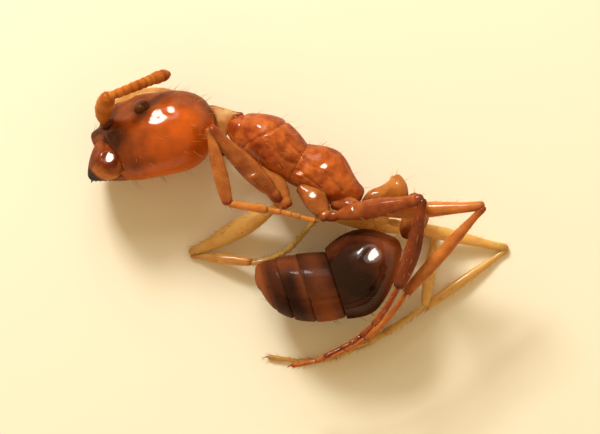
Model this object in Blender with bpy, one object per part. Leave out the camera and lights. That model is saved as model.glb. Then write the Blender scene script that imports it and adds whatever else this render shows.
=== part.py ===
"""A fire ant worker that lies on its right side, curled up as it dried.

The head points to -X, the back to +Y and the ant's left side to +Z, away from the surface that
it lies on.  Every plate of the body and every length of a leg or feeler is a solid of its own.

All shapes are worked out in millimetres, about a plane z = 0 that splits the trunk into its left
and right halves.  The last step turns them into metres and stands the ant on z = 0.
"""

import math

import bmesh
import bpy
import numpy as np
from mathutils import Matrix, Vector

MM = 0.001

# --- driving sizes, in millimetres -----------------------------------------------------------
FLOOR = -0.62           # the surface under the ant, below the trunk's middle plane
JOINT_GAP = 0.01        # clear space left between two pieces that meet

TRUNK_SIDES = 20        # facets round the head, trunk and gaster
LIMB_SIDES = 10         # facets round a coxa, thigh, shin or scape
THIN_SIDES = 8          # facets round a tarsus or funiculus
FULLNESS = 2.25         # 2 gives a plain ellipse across a body plate, more gives fuller flanks

# A body plate has an origin, a slope in degrees and stations along it.
# A station is: place along the plate, top, bottom, half width.
HEAD_ORIGIN = (-2.42, 1.00, 0.0)
HEAD_SLOPE = 0.0
HEAD_STATIONS = (
    (0.02, 0.00, -0.15, 0.11),
    (0.08, 0.06, -0.20, 0.24),
    (0.17, 0.16, -0.32, 0.34),
    (0.29, 0.28, -0.49, 0.44),
    (0.42, 0.38, -0.57, 0.52),
    (0.57, 0.45, -0.57, 0.58),
    (0.84, 0.50, -0.51, 0.64),
    (1.04, 0.515, -0.48, 0.655),
    (1.21, 0.475, -0.42, 0.60),
    (1.32, 0.41, -0.33, 0.50),
    (1.40, 0.31, -0.21, 0.34),
    (1.435, 0.17, -0.02, 0.14),
)

TRUNK_ORIGIN = (-0.784, 1.03, 0.0)
TRUNK_SLOPE = -27.0
TRUNK_FRONT_STATIONS = (
    (-0.06, 0.12, -0.01, 0.09),
    (0.00, 0.21, -0.08, 0.19),
    (0.15, 0.31, -0.15, 0.33),
    (0.34, 0.385, -0.21, 0.41),
    (0.50, 0.41, -0.25, 0.42),
    (0.66, 0.36, -0.28, 0.37),
    (0.79, 0.31, -0.265, 0.31),
    (0.855, 0.275, -0.25, 0.285),
)
TRUNK_REAR_STATIONS = (
    (0.865, 0.27, -0.25, 0.285),
    (0.96, 0.305, -0.25, 0.30),
    (1.11, 0.355, -0.25, 0.31),
    (1.26, 0.365, -0.25, 0.30),
    (1.38, 0.31, -0.25, 0.28),
    (1.50, 0.21, -0.25, 0.24),
    (1.62, 0.14, -0.22, 0.18),
    (1.73, 0.09, -0.11, 0.10),
)

PETIOLE_ORIGIN = (0.644, 0.211, 0.0)
PETIOLE_SLOPE = 8.0
PETIOLE_STATIONS = (
    (0.06, 0.10, -0.05, 0.07),
    (0.18, 0.10, -0.07, 0.08),
    (0.30, 0.11, -0.09, 0.10),
    (0.42, 0.15, -0.11, 0.14),
    (0.51, 0.225, -0.13, 0.17),
    (0.57, 0.245, -0.14, 0.18),
    (0.62, 0.19, -0.12, 0.15),
    (0.65, 0.08, -0.07, 0.08),
)

GASTER_ORIGIN = (-0.515, -0.608, -0.05)
GASTER_SLOPE = 18.0
GASTER_PLATES = {
    "gaster_tip": (
        (-0.005, -0.06, -0.22, 0.06),
        (0.02, 0.03, -0.36, 0.15),
        (0.08, 0.065, -0.51, 0.24),
        (0.17, 0.07, -0.62, 0.32),
        (0.255, 0.06, -0.685, 0.36),
    ),
    "gaster_third_plate": (
        (0.265, 0.072, -0.70, 0.375),
        (0.38, 0.06, -0.76, 0.42),
        (0.495, 0.035, -0.805, 0.455),
    ),
    "gaster_second_plate": (
        (0.505, 0.045, -0.815, 0.465),
        (0.66, 0.01, -0.85, 0.49),
        (0.83, -0.035, -0.865, 0.495),
    ),
    "gaster_first_plate": (
        (0.84, -0.015, -0.885, 0.515),
        (1.02, 0.065, -0.92, 0.54),
        (1.20, 0.10, -0.915, 0.565),
        (1.42, 0.065, -0.75, 0.58),
        (1.58, -0.045, -0.56, 0.47),
        (1.68, -0.13, -0.40, 0.27),
        (1.715, -0.19, -0.31, 0.12),
    ),
}

# A swept piece has a path of points and, at even steps along it, half thicknesses.
NECK_PATH = ((-1.08, 1.13, 0.0), (-0.90, 1.11, 0.0), (-0.68, 1.07, 0.0))
NECK_HEIGHTS = (0.20, 0.175, 0.14)
NECK_THICKNESS = (0.09, 0.055, 0.08)

POSTPETIOLE_PATH = ((1.29, 0.26, 0.0), (1.375, 0.13, 0.0), (1.35, -0.06, 0.0), (1.215, -0.20, 0.0))
POSTPETIOLE_RADII = (0.08, 0.15, 0.175, 0.15, 0.07)

EYE_CENTRE = (-1.818, 1.30, 0.43)
EYE_RADII = (0.118, 0.11, 0.058)
EYE_TILT = 36.0         # degrees from the side of the head towards its top

MANDIBLE_PATH = ((-2.12, 0.69, 0.22), (-2.24, 0.64, 0.21), (-2.34, 0.56, 0.155), (-2.43, 0.475, 0.06))
MANDIBLE_HEIGHTS = (0.20, 0.22, 0.19, 0.125, 0.045)
MANDIBLE_THICKNESS = (0.20, 0.195, 0.165, 0.105, 0.04)

SCAPE_RADII = (0.055, 0.07, 0.082, 0.088, 0.08)
FUNICULUS_RADII = (0.055, 0.06, 0.062, 0.064, 0.066)
CLUB_RADII = (0.066, 0.075, 0.078, 0.07, 0.04)
ANTENNAE = {
    "left": {
        "scape": ((-2.27, 1.10, 0.17), (-2.275, 1.27, 0.50), (-2.205, 1.41, 0.88)),
        "funiculus": ((-2.205, 1.41, 0.88), (-1.91, 1.53, 0.72), (-1.70, 1.62, 0.50)),
        "club": ((-1.70, 1.62, 0.50), (-1.60, 1.66, 0.36), (-1.52, 1.685, 0.22)),
    },
    "right": {
        "scape": ((-2.25, 1.11, -0.17), (-2.03, 1.32, -0.43), (-1.72, 1.39, -0.51), (-1.46, 1.39, -0.53)),
        "funiculus": ((-1.46, 1.39, -0.53), (-1.30, 1.35, -0.55), (-1.14, 1.24, -0.55), (-1.00, 1.06, -0.55)),
        "club": ((-1.00, 1.06, -0.55), (-0.92, 0.92, -0.55), (-0.87, 0.76, -0.53)),
    },
}

# How thick a limb is at even steps along it, before its leg's own factor.
COXA_RADII = (0.13, 0.165, 0.165, 0.13, 0.085)
FEMUR_RADII = (0.045, 0.07, 0.115, 0.135, 0.125, 0.10, 0.075, 0.06)
TIBIA_RADII = (0.05, 0.062, 0.08, 0.092, 0.092, 0.08, 0.058)
TARSUS_RADIUS = 0.042
TARSUS_BEADS = 5
TARSUS_WAIST = 0.75     # how thin a tarsus is between two of its beads
LIMB_FLATNESS = 0.85    # thickness across a coxa, thigh or shin, towards the ant's side

# Each leg: root, hip, knee, a point on the shin if it is bowed, ankle, the tarsus as far as its
# tip, how stout its coxa, thigh and shin are, and how thick its first tarsal bead is.
LEGS = {
    "fore_left": {
        "root": (-0.46, 0.78, 0.13),
        "hip": (-0.14, 0.15, 0.22),
        "knee": (-1.04, 1.05, 0.66),
        "shin": (),
        "ankle": (-0.82, 0.17, 0.56),
        "tarsus": ((-0.55, 0.13, 0.52), (-0.14, 0.06, 0.47), (0.21, -0.035, 0.43)),
        "stoutness": (1.0, 1.0, 1.0),
        "first_bead": 1.8,
    },
    "fore_right": {
        "root": (-0.46, 0.76, -0.13),
        "hip": (-0.19, 0.16, -0.22),
        "knee": (-1.26, -0.43, -0.585),
        "shin": (),
        "ankle": (-0.55, -0.515, -0.38),
        "tarsus": ((-0.39, -0.505, -0.37), (-0.13, -0.38, -0.31), (0.19, -0.03, -0.17)),
        "stoutness": (0.95, 0.97, 0.72),
        "first_bead": 1.2,
    },
    "mid_left": {
        "root": (0.09, 0.40, 0.14),
        "hip": (0.33, 0.01, 0.27),
        "knee": (1.45, 0.22, 0.70),
        "shin": (1.355, -0.32, 0.68),
        "ankle": (1.17, -0.80, 0.62),
        "tarsus": ((0.98, -1.12, 0.58), (0.70, -1.40, 0.53), (0.30, -1.62, 0.48)),
        "stoutness": (0.9, 0.95, 1.1),
        "first_bead": 1.2,
    },
    "mid_right": {
        "root": (0.10, 0.38, -0.14),
        "hip": (0.27, 0.02, -0.27),
        "knee": (1.61, -0.18, -0.595),
        "shin": (),
        "ankle": (1.49, -1.02, -0.37),
        "tarsus": ((1.23, -1.22, -0.36), (0.88, -1.42, -0.37), (0.33, -1.62, -0.39)),
        "stoutness": (0.7, 0.7, 0.8),
        "first_bead": 1.1,
    },
    "hind_left": {
        "root": (0.45, 0.22, 0.12),
        "hip": (0.77, 0.06, 0.25),
        "knee": (2.17, 0.14, 0.68),
        "shin": (),
        "ankle": (1.26, -0.87, 0.45),
        "tarsus": ((1.03, -1.20, 0.38), (0.70, -1.46, 0.29), (0.24, -1.66, 0.17), (-0.09, -1.72, 0.08)),
        "stoutness": (0.75, 0.8, 0.9),
        "first_bead": 1.15,
    },
    "hind_right": {
        "root": (0.50, 0.20, -0.12),
        "hip": (1.05, -0.03, -0.27),
        "knee": (2.47, -0.36, -0.60),
        "shin": (),
        "ankle": (1.49, -1.05, -0.51),
        "tarsus": ((1.11, -1.29, -0.53), (0.74, -1.50, -0.55), (0.21, -1.68, -0.57), (-0.37, -1.63, -0.605)),
        "stoutness": (0.65, 0.65, 0.7),
        "first_bead": 1.1,
    },
}

# --- colours: base colour, roughness, metallic -------------------------------------------------
FINISHES = {
    "red_cuticle": ((0.52, 0.13, 0.03), 0.28, 0.0),
    "dark_cuticle": ((0.09, 0.03, 0.02), 0.22, 0.0),
    "brown_cuticle": ((0.35, 0.09, 0.03), 0.30, 0.0),
    "amber_cuticle": ((0.72, 0.32, 0.06), 0.30, 0.0),
    "mandible_cuticle": ((0.40, 0.11, 0.03), 0.25, 0.0),
    "eye_black": ((0.02, 0.01, 0.01), 0.20, 0.0),
}


# --- scene helpers -------------------------------------------------------------------------------
def clear_scene():
    """Remove whatever the start-up file holds."""
    for obj in list(bpy.data.objects):
        bpy.data.objects.remove(obj, do_unlink=True)


def finish(name):
    """The material of this name, made the first time that it is asked for."""
    material = bpy.data.materials.get(name)
    if material:
        return material
    colour, roughness, metallic = FINISHES[name]
    material = bpy.data.materials.new(name)
    material.use_nodes = True
    shader = material.node_tree.nodes["Principled BSDF"]
    shader.inputs["Base Color"].default_value = (*colour, 1.0)
    shader.inputs["Roughness"].default_value = roughness
    shader.inputs["Metallic"].default_value = metallic
    material.diffuse_color = (*colour, 1.0)
    return material


def object_from(name, bm, material):
    """A linked, smooth shaded object that holds this bmesh."""
    bmesh.ops.recalc_face_normals(bm, faces=bm.faces)
    mesh = bpy.data.meshes.new(name)
    bm.to_mesh(mesh)
    bm.free()
    mesh.materials.append(finish(material))
    mesh.shade_smooth()
    obj = bpy.data.objects.new(name, mesh)
    bpy.context.scene.collection.objects.link(obj)
    return obj


# --- curves through a few values ------------------------------------------------------------------
def smooth_rows(rows, parts):
    """Rows on a Catmull-Rom curve through the given rows, with each span cut into equal parts."""
    rows = np.array(rows, float)
    before = 2 * rows[0] - rows[1]
    after = 2 * rows[-1] - rows[-2]
    rows = np.vstack([before, rows, after])
    result = []
    for first in range(len(rows) - 3):
        a, b, c, d = rows[first : first + 4]
        for part in range(parts):
            t = part / parts
            linear = (c - a) * t
            square = (2 * a - 5 * b + 4 * c - d) * t * t
            cube = (3 * b - a - 3 * c + d) * t**3
            result.append(b + 0.5 * (linear + square + cube))
    result.append(rows[-2])
    return result


def along_path(path, count):
    """Points and directions at even distances along a smooth curve through the path's points."""
    dense = np.array(smooth_rows(path, 12)) if len(path) > 2 else np.array(path, float)
    steps = np.linalg.norm(np.diff(dense, axis=0), axis=1)
    travelled = np.concatenate([[0.0], np.cumsum(steps)])
    wanted = np.linspace(0.0, travelled[-1], count)
    points = np.column_stack([np.interp(wanted, travelled, dense[:, k]) for k in range(3)])
    directions = np.gradient(points, axis=0)
    return [Vector(p) for p in points], [Vector(d).normalized() for d in directions]


def even_values(values, count):
    """The listed values, read off at even steps."""
    rows = smooth_rows([(v,) for v in values], 6)
    dense = np.array(rows)[:, 0]
    return np.interp(np.linspace(0, len(dense) - 1, count), np.arange(len(dense)), dense)


def signed_power(value, power):
    """The value's size raised to a power, with its sign kept."""
    return math.copysign(abs(value) ** power, value)


# --- closed bodies -----------------------------------------------------------------------------------
def body_through(name, rings, material):
    """A closed body with its wall through the rings and a face over each end."""
    bm = bmesh.new()
    loops = [[bm.verts.new(point) for point in ring] for ring in rings]
    sides = len(loops[0])
    for near, far in zip(loops, loops[1:]):
        for k in range(sides):
            after = (k + 1) % sides
            bm.faces.new((near[k], near[after], far[after], far[k]))
    bm.faces.new(loops[0])
    bm.faces.new(loops[-1])
    return object_from(name, bm, material)


def body_plate(name, origin, slope, stations, material, parts=2):
    """A plate of the body: rounded sections across a sloping line in the middle plane."""
    place = Matrix.Translation(origin) @ Matrix.Rotation(math.radians(slope), 4, "Z")
    power = 2 / FULLNESS
    rings = []
    for along, top, bottom, half_width in smooth_rows(stations, parts):
        middle = (top + bottom) / 2
        reach = (top - bottom) / 2
        ring = []
        for k in range(TRUNK_SIDES):
            angle = 2 * math.pi * (k + 0.5) / TRUNK_SIDES
            up = middle + reach * signed_power(math.cos(angle), power)
            out = half_width * signed_power(math.sin(angle), power)
            ring.append(place @ Vector((along, up, out)))
        rings.append(ring)
    return body_through(name, rings, material)


def swept_body(name, path, heights, material, thickness=None, sides=LIMB_SIDES, rings=9):
    """A body swept along a path: its section is heights across Z and thickness towards Z."""
    thickness = heights if thickness is None else thickness
    points, directions = along_path(path, rings)
    tall = even_values(heights, rings)
    thick = even_values(thickness, rings)
    loops = []
    reference = Vector((0, 0, 1)) if abs(directions[0].z) < 0.8 else Vector((1, 0, 0))
    for point, direction, a, b in zip(points, directions, tall, thick):
        across = direction.cross(reference).normalized()
        side = across.cross(direction).normalized()
        loop = []
        for k in range(sides):
            angle = 2 * math.pi * (k + 0.5) / sides
            loop.append(point + across * (a * math.cos(angle)) + side * (b * math.sin(angle)))
        loops.append(loop)
    return body_through(name, loops, material)


# --- parting one piece from the next ------------------------------------------------------------------
def cut_away(obj, point, normal):
    """Remove what lies past a plane, and close the cut."""
    bm = bmesh.new()
    bm.from_mesh(obj.data)
    geometry = bm.verts[:] + bm.edges[:] + bm.faces[:]
    bmesh.ops.bisect_plane(bm, geom=geometry, plane_co=point, plane_no=normal, clear_outer=True, dist=1e-5)
    open_edges = [edge for edge in bm.edges if edge.is_boundary]
    if open_edges:
        bmesh.ops.holes_fill(bm, edges=open_edges, sides=0)
    bmesh.ops.recalc_face_normals(bm, faces=bm.faces)
    bm.to_mesh(obj.data)
    bm.free()
    obj.data.shade_smooth()


def mitre(first, second, joint, arriving, leaving):
    """Part two limbs along the plane that halves the bend between them."""
    normal = (arriving + leaving).normalized()
    cut_away(first, joint - normal * (JOINT_GAP / 2), normal)
    cut_away(second, joint + normal * (JOINT_GAP / 2), -normal)


def swollen_copy(obj, amount):
    """A cutter: the same shape, grown by an amount all round."""
    bm = bmesh.new()
    bm.from_mesh(obj.data)
    bm.normal_update()
    moved = [vert.co + vert.normal * amount for vert in bm.verts]
    for vert, place in zip(bm.verts, moved):
        vert.co = place
    cutter = object_from("cutter_" + obj.name, bm, obj.data.materials[0].name)
    cutter.hide_render = True
    cutter.display_type = "WIRE"
    return cutter


def keep_largest(mesh):
    """Drop loose crumbs that a cut has left, so that one closed body stays."""
    bm = bmesh.new()
    bm.from_mesh(mesh)
    unseen = set(bm.verts)
    islands = []
    while unseen:
        island = set()
        waiting = [unseen.pop()]
        while waiting:
            vert = waiting.pop()
            island.add(vert)
            near = {edge.other_vert(vert) for edge in vert.link_edges} & unseen
            unseen -= near
            waiting.extend(near)
        islands.append(island)
    islands.sort(key=len)
    crumbs = [vert for island in islands[:-1] for vert in island]
    bmesh.ops.delete(bm, geom=crumbs, context="VERTS")
    bm.to_mesh(mesh)
    bm.free()


def trim(obj, neighbours):
    """Cut the neighbours out of a piece, with the joint gap all round them."""
    for neighbour in neighbours:
        cutter = swollen_copy(neighbour, JOINT_GAP)
        modifier = obj.modifiers.new("trim", "BOOLEAN")
        modifier.operation = "DIFFERENCE"
        modifier.object = cutter
        bpy.context.view_layer.update()
        evaluated = obj.evaluated_get(bpy.context.evaluated_depsgraph_get())
        cut_mesh = bpy.data.meshes.new_from_object(evaluated)
        obj.modifiers.clear()
        obj.data = cut_mesh
        bpy.data.objects.remove(cutter, do_unlink=True)
        keep_largest(obj.data)
    obj.data.shade_smooth()


# --- the ant -----------------------------------------------------------------------------------------------
def make_head():
    """The head capsule."""
    return body_plate("head", HEAD_ORIGIN, HEAD_SLOPE, HEAD_STATIONS, "red_cuticle")


def make_eyes(head):
    """A low oval lens on each side of the head, high on the cheek."""
    eyes = []
    for side, sign in (("left", 1), ("right", -1)):
        bm = bmesh.new()
        bmesh.ops.create_uvsphere(bm, u_segments=14, v_segments=9, radius=1.0)
        lens = (
            Matrix.Translation((EYE_CENTRE[0], EYE_CENTRE[1], sign * EYE_CENTRE[2]))
            @ Matrix.Rotation(math.radians(-sign * EYE_TILT), 4, "X")
            @ Matrix.Diagonal((*EYE_RADII, 1.0))
        )
        bmesh.ops.transform(bm, matrix=lens, verts=bm.verts)
        eye = object_from("eye_" + side, bm, "eye_black")
        trim(eye, [head])
        eyes.append(eye)
    return eyes


def make_mandibles(head):
    """Two curved jaws whose tips meet in front of the mouth."""
    jaws = []
    for side, sign in (("left", 1), ("right", -1)):
        path = [(x, y, sign * z) for x, y, z in MANDIBLE_PATH]
        jaw = swept_body(
            "mandible_" + side, path, MANDIBLE_HEIGHTS, "mandible_cuticle", MANDIBLE_THICKNESS, rings=8
        )
        trim(jaw, [head])
        jaws.append(jaw)
    return jaws


def make_antennae(head, eyes):
    """Scape, funiculus and two-jointed club on each side, bent at the elbow."""
    made = []
    for side, paths in ANTENNAE.items():
        stem = "antenna_" + side
        scape = swept_body(stem + "_scape", paths["scape"], SCAPE_RADII, "brown_cuticle", rings=9)
        funiculus = swept_body(
            stem + "_funiculus", paths["funiculus"], FUNICULUS_RADII, "brown_cuticle", sides=THIN_SIDES
        )
        club = swept_body(stem + "_club", paths["club"], CLUB_RADII, "brown_cuticle", sides=THIN_SIDES, rings=7)
        trim(scape, [head, *eyes])
        trim(funiculus, [head])
        part_chain([scape, funiculus, club], [paths["scape"], paths["funiculus"], paths["club"]])
        made += [scape, funiculus, club]
    return made


def part_chain(pieces, paths):
    """Mitre every piece of a chain against the next one, at the point that their paths share."""
    for first, second, before, after in zip(pieces, pieces[1:], paths, paths[1:]):
        joint = Vector(after[0])
        arriving = (joint - Vector(before[-2])).normalized()
        leaving = (Vector(after[1]) - joint).normalized()
        mitre(first, second, joint, arriving, leaving)


def make_trunk(head):
    """Neck, the two parts of the trunk on either side of its groove, and the two waist nodes."""
    front = body_plate("mesosoma_front", TRUNK_ORIGIN, TRUNK_SLOPE, TRUNK_FRONT_STATIONS, "red_cuticle")
    rear = body_plate("mesosoma_rear", TRUNK_ORIGIN, TRUNK_SLOPE, TRUNK_REAR_STATIONS, "red_cuticle")
    petiole = body_plate("petiole", PETIOLE_ORIGIN, PETIOLE_SLOPE, PETIOLE_STATIONS, "amber_cuticle", parts=1)
    neck = swept_body("neck", NECK_PATH, NECK_HEIGHTS, "brown_cuticle", NECK_THICKNESS, rings=6)
    postpetiole = swept_body("postpetiole", POSTPETIOLE_PATH, POSTPETIOLE_RADII, "brown_cuticle")
    trim(neck, [head, front])
    trim(petiole, [rear])
    trim(postpetiole, [petiole])
    return [neck, front, rear, petiole, postpetiole]


def make_gaster(postpetiole):
    """The four plates of the gaster that show, each a little wider than the one behind it."""
    plates = []
    for name, stations in GASTER_PLATES.items():
        plates.append(body_plate(name, GASTER_ORIGIN, GASTER_SLOPE, stations, "dark_cuticle"))
    trim(postpetiole, [plates[-1]])
    return plates


def beaded(first_bead):
    """Half thicknesses along a tarsus: a first bead, often stouter, then four plain ones."""
    values = []
    for bead in range(TARSUS_BEADS):
        radius = TARSUS_RADIUS * (first_bead if bead == 0 else 1.0)
        values += [radius * TARSUS_WAIST, radius]
    return values + [TARSUS_RADIUS * TARSUS_WAIST]


def make_leg(place, leg, trunk, tone):
    """One leg: coxa, thigh with its trochanter, shin and tarsus."""
    stem = "leg_" + place
    shin = [leg["shin"]] if leg["shin"] else []
    paths = [
        [leg["root"], leg["hip"]],
        [leg["hip"], leg["knee"]],
        [leg["knee"], *shin, leg["ankle"]],
        [leg["ankle"], *leg["tarsus"]],
    ]
    parts = zip(("coxa", "femur", "tibia"), paths, (COXA_RADII, FEMUR_RADII, TIBIA_RADII), leg["stoutness"])
    lengths = []
    for part, path, radii, stoutness in parts:
        tall = [stoutness * radius for radius in radii]
        thick = [LIMB_FLATNESS * radius for radius in tall]
        lengths.append(swept_body(f"{stem}_{part}", path, tall, tone, thick, rings=8))
    beads = beaded(leg["first_bead"])
    tarsus = swept_body(stem + "_tarsus", paths[-1], beads, tone, sides=THIN_SIDES, rings=len(beads))
    lengths.append(tarsus)
    coxa, femur = lengths[:2]
    trim(coxa, trunk)
    trim(femur, [coxa])
    part_chain(lengths[1:], paths[1:])
    return lengths


def settle(pieces):
    """Grind the resting flats, turn millimetres to metres, and centre the ant on its footprint."""
    for piece in pieces:
        if min(vert.co.z for vert in piece.data.vertices) < FLOOR:
            cut_away(piece, Vector((0, 0, FLOOR)), Vector((0, 0, -1)))
    corners = np.array([vert.co for piece in pieces for vert in piece.data.vertices])
    middle = (corners.min(axis=0) + corners.max(axis=0)) / 2
    move = Matrix.Translation((-middle[0], -middle[1], -FLOOR))
    for piece in pieces:
        piece.data.transform(Matrix.Scale(MM, 4) @ move)


def main():
    """Build the ant."""
    clear_scene()
    head = make_head()
    eyes = make_eyes(head)
    jaws = make_mandibles(head)
    antennae = make_antennae(head, eyes)
    trunk = make_trunk(head)
    neck, front, rear, petiole, postpetiole = trunk
    gaster = make_gaster(postpetiole)
    pieces = [head, *eyes, *jaws, *antennae, *trunk, *gaster]
    for place, leg in LEGS.items():
        tone = "amber_cuticle" if place.endswith("right") else "brown_cuticle"
        pieces += make_leg(place, leg, [front, rear], tone)
    settle(pieces)


main()
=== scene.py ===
"""The looks of a dried fire ant worker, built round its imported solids.

The ant lies on its right side: its head points to -X, its back to +Y and its left side to +Z.
Every shell plate and every length of a limb is drawn afresh as a smooth closed loft through slices
measured on its solid, then carved, painted and given sparse bristles.  Shapes are worked out in
millimetres, and each piece is turned into metres when it is finished.
"""

import logging
import math
from collections.abc import Iterator, Sequence
from contextlib import contextmanager
from dataclasses import dataclass, field, replace
from enum import Enum
from itertools import pairwise

import bpy
import numpy as np
from mathutils import Matrix, Vector


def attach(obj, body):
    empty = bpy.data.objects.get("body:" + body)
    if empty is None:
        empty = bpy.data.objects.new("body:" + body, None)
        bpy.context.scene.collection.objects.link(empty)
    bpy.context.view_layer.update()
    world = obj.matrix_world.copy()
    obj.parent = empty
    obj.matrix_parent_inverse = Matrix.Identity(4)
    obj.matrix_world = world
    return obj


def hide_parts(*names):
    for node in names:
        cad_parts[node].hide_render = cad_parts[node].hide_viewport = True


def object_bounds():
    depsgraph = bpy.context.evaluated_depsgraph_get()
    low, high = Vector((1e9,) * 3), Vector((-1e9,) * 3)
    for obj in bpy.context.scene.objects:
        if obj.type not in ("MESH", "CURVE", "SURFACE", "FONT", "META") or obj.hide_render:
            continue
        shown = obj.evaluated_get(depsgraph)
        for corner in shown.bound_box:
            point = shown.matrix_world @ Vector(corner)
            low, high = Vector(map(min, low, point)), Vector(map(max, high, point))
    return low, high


logging.basicConfig(level=logging.INFO, format="%(message)s")
log = logging.getLogger("fire_ant")

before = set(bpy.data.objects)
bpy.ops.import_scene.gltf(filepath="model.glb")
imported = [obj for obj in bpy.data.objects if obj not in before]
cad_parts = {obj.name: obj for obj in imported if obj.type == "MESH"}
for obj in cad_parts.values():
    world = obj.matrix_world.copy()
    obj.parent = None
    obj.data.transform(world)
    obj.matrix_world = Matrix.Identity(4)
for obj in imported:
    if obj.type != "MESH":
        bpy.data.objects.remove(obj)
CAD_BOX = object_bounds()

MM = 0.001  # metres in a millimetre
GROUND = CAD_BOX[0].z / MM  # the level that the ant rests on, in millimetres
SORTING_POINT = (37.3, -61.9, 23.1)  # well outside and askew, so that no two points are equally far
FIRST_SEED = 11  # of the head's bristles, and each later set has the next

BACK = Vector((0.0, 1.0, 0.0))
LEFT = Vector((0.0, 0.0, 1.0))
TAIL = Vector((1.0, 0.0, 0.0))

Colour = tuple[float, float, float]
Piece = bpy.types.Object
Tree = bpy.types.NodeTree
Socket = bpy.types.NodeSocket
Band = tuple[float, ...]  # ramps, each by where it is nothing and where it is full
Steps = tuple[tuple[float, float], ...]  # slices made from one slice, each by its size and its step

BOTH = (1.0, -1.0)  # the signs of the sides that a work is done on
ONCE = (1.0,)
UNCHANGED: Steps = ((1.0, 0.0),)


class Slot(Enum):
    """The record's material slots."""

    RED_PLATE = "red_plate"
    WAIST = "waist"
    GASTER = "gaster_plate"
    MANDIBLE = "mandible"
    ANTENNA = "antenna"
    BROWN_LEG = "leg_brown"
    AMBER_LEG = "leg_amber"
    EYE = "eye"


class Side(Enum):
    """The ant's two sides, each with the sign of its way out from the middle."""

    LEFT = ("left", 1.0)
    RIGHT = ("right", -1.0)

    @property
    def word(self) -> str:
        """The side's name, as node names have it."""
        return self.value[0]

    @property
    def sign(self) -> float:
        """+1 on the left and -1 on the right."""
        return self.value[1]


# --- slices measured on the solids ---------------------------------------------------------------
def vertex_rows(piece: Piece, what: str) -> np.ndarray:
    """Reads a vector of every vertex, one row each.

    Args:
        piece: the object.
        what: co for its place, or normal.

    Returns:
        The rows.
    """
    values = np.empty(len(piece.data.vertices) * 3)
    piece.data.vertices.foreach_get(what, values)
    return values.reshape(-1, 3)


def places_of(piece: Piece) -> np.ndarray:
    """The places of a piece's vertices, one row each."""
    return vertex_rows(piece, "co")


def triangles_of(piece: Piece) -> np.ndarray:
    """Reads the corners of a piece's triangles.

    Args:
        piece: the object.

    Returns:
        Its places by triangle and corner, in millimetres where its mesh is in metres.
    """
    mesh = piece.data
    mesh.calc_loop_triangles()
    corners = np.empty(len(mesh.loop_triangles) * 3, np.int32)
    mesh.loop_triangles.foreach_get("vertices", corners)
    return places_of(piece)[corners.reshape(-1, 3)] / MM


@dataclass(frozen=True)
class Section:
    """One slice across a body: an ellipse with its middle, its two directions and half sizes."""

    centre: Vector
    along: Vector
    up: Vector
    tall: float
    wide: float

    @property
    def side(self) -> Vector:
        """The way across the slice, square to up."""
        return self.along.cross(self.up).normalized()

    def facing(self) -> Matrix:
        """A rotation that turns Z along the body and Y up."""
        ahead = self.along.normalized()
        across = self.up.cross(ahead).normalized()
        return Matrix((across, ahead.cross(across), ahead)).transposed()

    def grown(self, tall: float, wide: float | None = None, step: float = 0.0) -> "Section":
        """Draws the slice larger or smaller, further along the body.

        Args:
            tall: what its half height is multiplied by.
            wide: the same for its half width, or None for the same number.
            step: how far it is moved.

        Returns:
            The new slice.
        """
        wide = tall if wide is None else wide
        centre = self.centre + self.along.normalized() * step
        return replace(self, centre=centre, tall=self.tall * tall, wide=self.wide * wide)

    def rim(self, degrees: float) -> Vector:
        """Finds a point of its outline.

        Args:
            degrees: the angle from up towards its side.

        Returns:
            The point.
        """
        angle = math.radians(degrees)
        level = self.facing().col[1] * (self.tall * math.cos(angle))
        return self.centre + level + self.side * (self.wide * math.sin(angle))


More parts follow.
